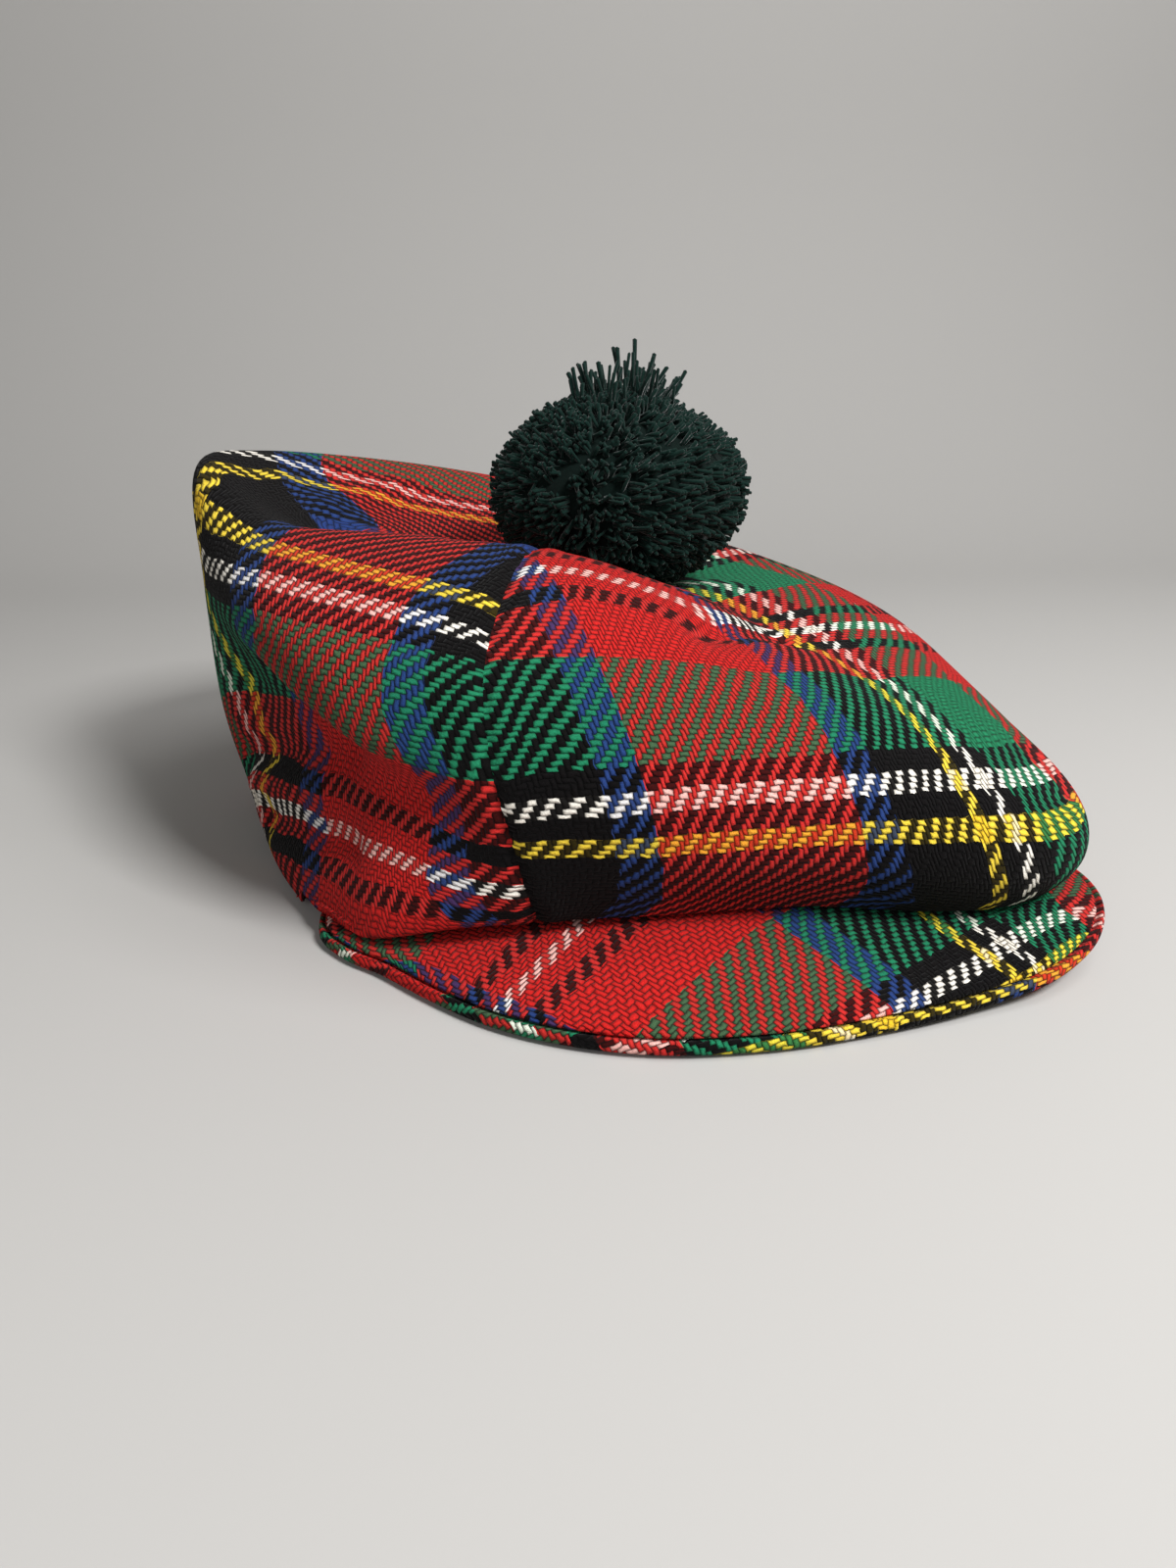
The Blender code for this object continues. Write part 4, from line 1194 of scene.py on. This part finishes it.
def stripe_color(tree, count):
    """Colour of the thread at a count, by the sett and its mirror image."""
    total = WHITE_MIDDLE
    folded = maths(tree, "PINGPONG", count, float(total))
    ramp = node(tree, "ShaderNodeValToRGB")
    ramp.color_ramp.interpolation = "CONSTANT"
    elements = ramp.color_ramp.elements
    while len(elements) > 1:
        elements.remove(elements[-1])
    done = 0
    for index, stripe in enumerate(HALF_SETT):
        entry = elements[0] if index == 0 else elements.new(done / total)
        entry.position = done / total
        entry.color = (*YARN_COLORS[stripe.color], 1.0)
        done += stripe.threads
    tree.links.new(maths(tree, "DIVIDE", folded, float(total)), ramp.inputs[0])
    return ramp.outputs[0]


def tartan_material(name):
    """Twilled wool tartan whose threads follow the piece's thread counts."""
    material = bpy.data.materials.new(name)
    material.use_nodes = True
    tree = material.node_tree
    shader = tree.nodes["Principled BSDF"]
    counts = node(tree, "ShaderNodeUVMap", uv_map="threads")
    wobble = node(tree, "ShaderNodeTexNoise", noise_dimensions="3D")
    wobble.inputs["Scale"].default_value = WANDER_SCALE
    wobble.inputs["Detail"].default_value = 2.0
    tree.links.new(counts.outputs[0], wobble.inputs["Vector"])
    wobble_parts = node(tree, "ShaderNodeSeparateColor")
    tree.links.new(wobble.outputs["Color"], wobble_parts.inputs[0])
    parts = node(tree, "ShaderNodeSeparateXYZ")
    tree.links.new(counts.outputs[0], parts.inputs[0])
    warp = maths(tree, "ADD", parts.outputs[0],
                 maths(tree, "MULTIPLY_ADD", wobble_parts.outputs[0], THREAD_WANDER,
                       -THREAD_WANDER / 2))
    weft = maths(tree, "ADD", parts.outputs[1],
                 maths(tree, "MULTIPLY_ADD", wobble_parts.outputs[1], THREAD_WANDER,
                       -THREAD_WANDER / 2))
    warp_cell = maths(tree, "FLOOR", warp)
    weft_cell = maths(tree, "FLOOR", weft)
    warp_share = maths(tree, "SUBTRACT", warp, warp_cell)
    weft_share = maths(tree, "SUBTRACT", weft, weft_cell)
    phase = maths(tree, "FLOORED_MODULO", maths(tree, "SUBTRACT", warp_cell, weft_cell), 4.0)
    warp_on_top = maths(tree, "LESS_THAN", phase, 1.5)

    # Place along the float, which passes over two threads
    warp_along = maths(tree, "MULTIPLY",
                       maths(tree, "ADD", maths(tree, "SUBTRACT", 1.0, phase), weft_share), 0.5)
    weft_along = maths(tree, "MULTIPLY",
                       maths(tree, "ADD", maths(tree, "SUBTRACT", phase, 2.0), warp_share), 0.5)
    along = node(tree, "ShaderNodeMix")
    across = node(tree, "ShaderNodeMix")
    for mixer, low, high in ((along, weft_along, warp_along), (across, weft_share, warp_share)):
        tree.links.new(warp_on_top, mixer.inputs[0])
        tree.links.new(low, mixer.inputs[2])
        tree.links.new(high, mixer.inputs[3])
    along_centre = maths(tree, "MULTIPLY_ADD", along.outputs[0], 2.0, -1.0)
    across_centre = maths(tree, "MULTIPLY_ADD", across.outputs[0], 2.0, -1.0)
    along_fall = maths(tree, "POWER", maths(tree, "ABSOLUTE", along_centre), FLOAT_END_POWER)
    across_fall = maths(tree, "POWER", maths(tree, "ABSOLUTE", across_centre), FLOAT_SIDE_POWER)
    bulge = maths(tree, "MULTIPLY", maths(tree, "SUBTRACT", 1.0, along_fall),
                  maths(tree, "SUBTRACT", 1.0, across_fall))
    bulge = maths(tree, "POWER", maths(tree, "MAXIMUM", bulge, 0.0), 0.5)

    fibres = node(tree, "ShaderNodeTexNoise", noise_dimensions="3D")
    fibres.inputs["Scale"].default_value = FIBRE_SCALE
    fibres.inputs["Detail"].default_value = 4.0
    fibres.inputs["Roughness"].default_value = FIBRE_COARSENESS
    tree.links.new(counts.outputs[0], fibres.inputs["Vector"])
    warp_color = stripe_color(tree, warp)
    weft_color = stripe_color(tree, weft)
    color = mix_color(tree, warp_on_top, weft_color, warp_color)
    other = mix_color(tree, warp_on_top, warp_color, weft_color)

    # A thread takes on the tint of a bright thread below it
    other_parts = node(tree, "ShaderNodeSeparateColor")
    tree.links.new(other, other_parts.inputs[0])
    brightest = maths(tree, "MAXIMUM", other_parts.outputs[0], other_parts.outputs[2])
    brightest = maths(tree, "MAXIMUM", brightest, other_parts.outputs[1])
    tint = node(tree, "ShaderNodeCombineColor")
    for low, high in zip(other_parts.outputs, tint.inputs):
        tree.links.new(maths(tree, "DIVIDE", low, brightest), high)
    bleed = maths(tree, "MULTIPLY", maths(tree, "MINIMUM", brightest, TINT_LIMIT), TINT_SHARE)
    color = mix_color(tree, bleed, color, tint.outputs[0], "MULTIPLY")
    fuzz = maths(tree, "SUBTRACT", other_parts.outputs[0], other_parts.outputs[1])
    fuzz = maths(tree, "MULTIPLY", maths(tree, "MAXIMUM", fuzz, 0.0), RED_FUZZ)
    color = mix_color(tree, fuzz, color, other)
    # Painted shade: the colour darkens from each float's crown to the gaps beside it, and a random fibre tone
    # is multiplied in
    gap_shade_and_fibre_tone = maths(tree, "MULTIPLY_ADD", bulge, 1 - GAP_PAINTED_SHADE_FLOOR, GAP_PAINTED_SHADE_FLOOR)
    gap_shade_and_fibre_tone = maths(tree, "MULTIPLY", gap_shade_and_fibre_tone,
                maths(tree, "MULTIPLY_ADD", fibres.outputs["Fac"], FIBRE_SHADE, FIBRE_BASE))
    shade = node(tree, "ShaderNodeCombineColor")
    for socket in shade.inputs:
        tree.links.new(gap_shade_and_fibre_tone, socket)
    color = mix_color(tree, 1.0, color, shade.outputs[0], "MULTIPLY")
    tree.links.new(color, shader.inputs["Base Color"])
    height = maths(tree, "MULTIPLY_ADD", fibres.outputs["Fac"], FIBRE_RELIEF, bulge)
    bump = node(tree, "ShaderNodeBump")
    bump.inputs["Strength"].default_value = 0.9
    bump.inputs["Distance"].default_value = THREAD_RELIEF
    tree.links.new(height, bump.inputs["Height"])
    tree.links.new(bump.outputs[0], shader.inputs["Normal"])
    shader.inputs["Roughness"].default_value = CLOTH_ROUGHNESS
    shader.inputs["Specular IOR Level"].default_value = CLOTH_SHINE
    shader.inputs["Sheen Weight"].default_value = CLOTH_SHEEN
    shader.inputs["Sheen Roughness"].default_value = 0.5
    return material


def plain_material(name, color, roughness):
    """Plain matte material for the table."""
    material = bpy.data.materials.new(name)
    material.use_nodes = True
    shader = material.node_tree.nodes["Principled BSDF"]
    shader.inputs["Base Color"].default_value = (*color, 1.0)
    shader.inputs["Roughness"].default_value = roughness
    shader.inputs["Specular IOR Level"].default_value = 0.2
    return material


def make_floor():
    """Pale table top that rises in a soft curve behind the cap."""
    deselect_all()
    bpy.ops.mesh.primitive_grid_add(x_subdivisions=2, y_subdivisions=120, size=2.0)
    floor = bpy.context.object
    floor.name = "floor"
    for vert in floor.data.vertices:
        place = (vert.co.y + 1) / 2 * (FLOOR_FRONT + FLOOR_BACK + FLOOR_RISE) - FLOOR_FRONT
        past = max(place - FLOOR_BACK, 0.0)
        turn = min(past / FLOOR_BEND, pi / 2)
        beyond = max(past - FLOOR_BEND * pi / 2, 0.0)
        vert.co.x *= FLOOR_HALF_WIDTH
        vert.co.y = min(place, FLOOR_BACK) + FLOOR_BEND * sin(turn)
        vert.co.z = FLOOR_BEND * (1 - cos(turn)) + beyond - FLOOR_CLEARANCE
    floor.data.materials.append(plain_material("pale_table", FLOOR_COLOR, 0.95))
    floor.data.shade_smooth()


def make_camera():
    """Camera at the photograph's place."""
    place = camera_pose()[0]
    data = bpy.data.cameras.new("camera")
    data.sensor_width = SENSOR
    data.lens = FOCAL_PIXELS / PHOTO_HEIGHT * SENSOR
    data.clip_start = 0.01
    camera = bpy.data.objects.new("camera", data)
    camera.location = Vector(place + opening_middle())
    camera.rotation_euler = (radians(90 - CAMERA_TILT), 0.0, radians(-CAMERA_YAW))
    bpy.context.scene.collection.objects.link(camera)
    bpy.context.scene.camera = camera


def add_area_light(name, place, aim, size, power):
    """Soft square light aimed at a place."""
    data = bpy.data.lights.new(name, "AREA")
    data.shape = "SQUARE"
    data.size = size
    data.energy = power
    lamp = bpy.data.objects.new(name, data)
    lamp.location = place
    direction = Vector(aim) - Vector(place)
    lamp.rotation_euler = direction.to_track_quat("-Z", "Y").to_euler()
    bpy.context.scene.collection.objects.link(lamp)


def make_lights():
    """Soft light from above and in front, and a pale surround."""
    world = bpy.data.worlds.new("surround")
    world.use_nodes = True
    back = world.node_tree.nodes["Background"]
    back.inputs["Color"].default_value = (*SURROUND_COLOR, 1.0)
    back.inputs["Strength"].default_value = SURROUND_STRENGTH
    bpy.context.scene.world = world
    for lamp in LAMPS:
        add_area_light(*lamp)


def main():
    """Build the cap, its floor, its camera and its lights."""
    bpy.context.scene.view_settings.view_transform = "Standard"
    make_floor()
    make_camera()
    make_lights()
    crown = make_crown(tartan_material("tartan_wool"))
    peak_wool = tartan_material("peak_tartan_wool")
    inset = PEAK_COVER + GAP
    top_rows = ((inset, 0.0, 0.0), (0.0, 1.0, 0.0), (0.0, 1.0, PEAK_COVER),
                (inset, 0.0, PEAK_COVER))
    peak_top = make_peak_piece("peak_top_cloth", top_rows, peak_wool, top_cover_threads)
    inner_drop = PEAK_THICKNESS - PEAK_COVER
    under_rows = ((0.0, 0.0, 0.0), (PEAK_COVER - GAP, 0.0, 0.0),
                  (PEAK_COVER, 0.0, inner_drop), (0.0, 1.0, inner_drop),
                  (0.0, 1.0, PEAK_THICKNESS), (0.0, 0.0, PEAK_THICKNESS))
    peak_under = make_peak_piece("peak_under_cloth", under_rows, peak_wool, under_cover_threads)
    band = make_band(tartan_material("band_tartan_wool"))
    yarn = yarn_material("green_yarn_ends", YARN_GREEN, YARN_DARK_SHARE)
    # The core gets the same yarn in a darker green, as painted shade
    core_yarn_painted_shade = yarn_material("green_yarn_core_painted_shade", CORE_GREEN_PAINTED_SHADE, CORE_DARK_SHARE)
    core, ends = make_pompom(yarn, core_yarn_painted_shade)
    for piece, cad_node, slot in (
            (crown, "crown", "tartan_cloth"), (peak_top, "peak_top", "peak_cloth"),
            (peak_under, "peak_under", "peak_cloth"), (band, "head_band", "band_cloth"),
            (ends, "pompom", "green_yarn")):
        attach(piece, "root")
        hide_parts(cad_node)
    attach(core, "root")
    for piece in (crown, peak_top, peak_under, band, ends, core):
        area = sum(face.area for face in piece.data.polygons)
        triangles = sum(len(face.vertices) - 2 for face in piece.data.polygons)
        print(piece.name, "area", round(area, 5), "triangles", triangles)


main()
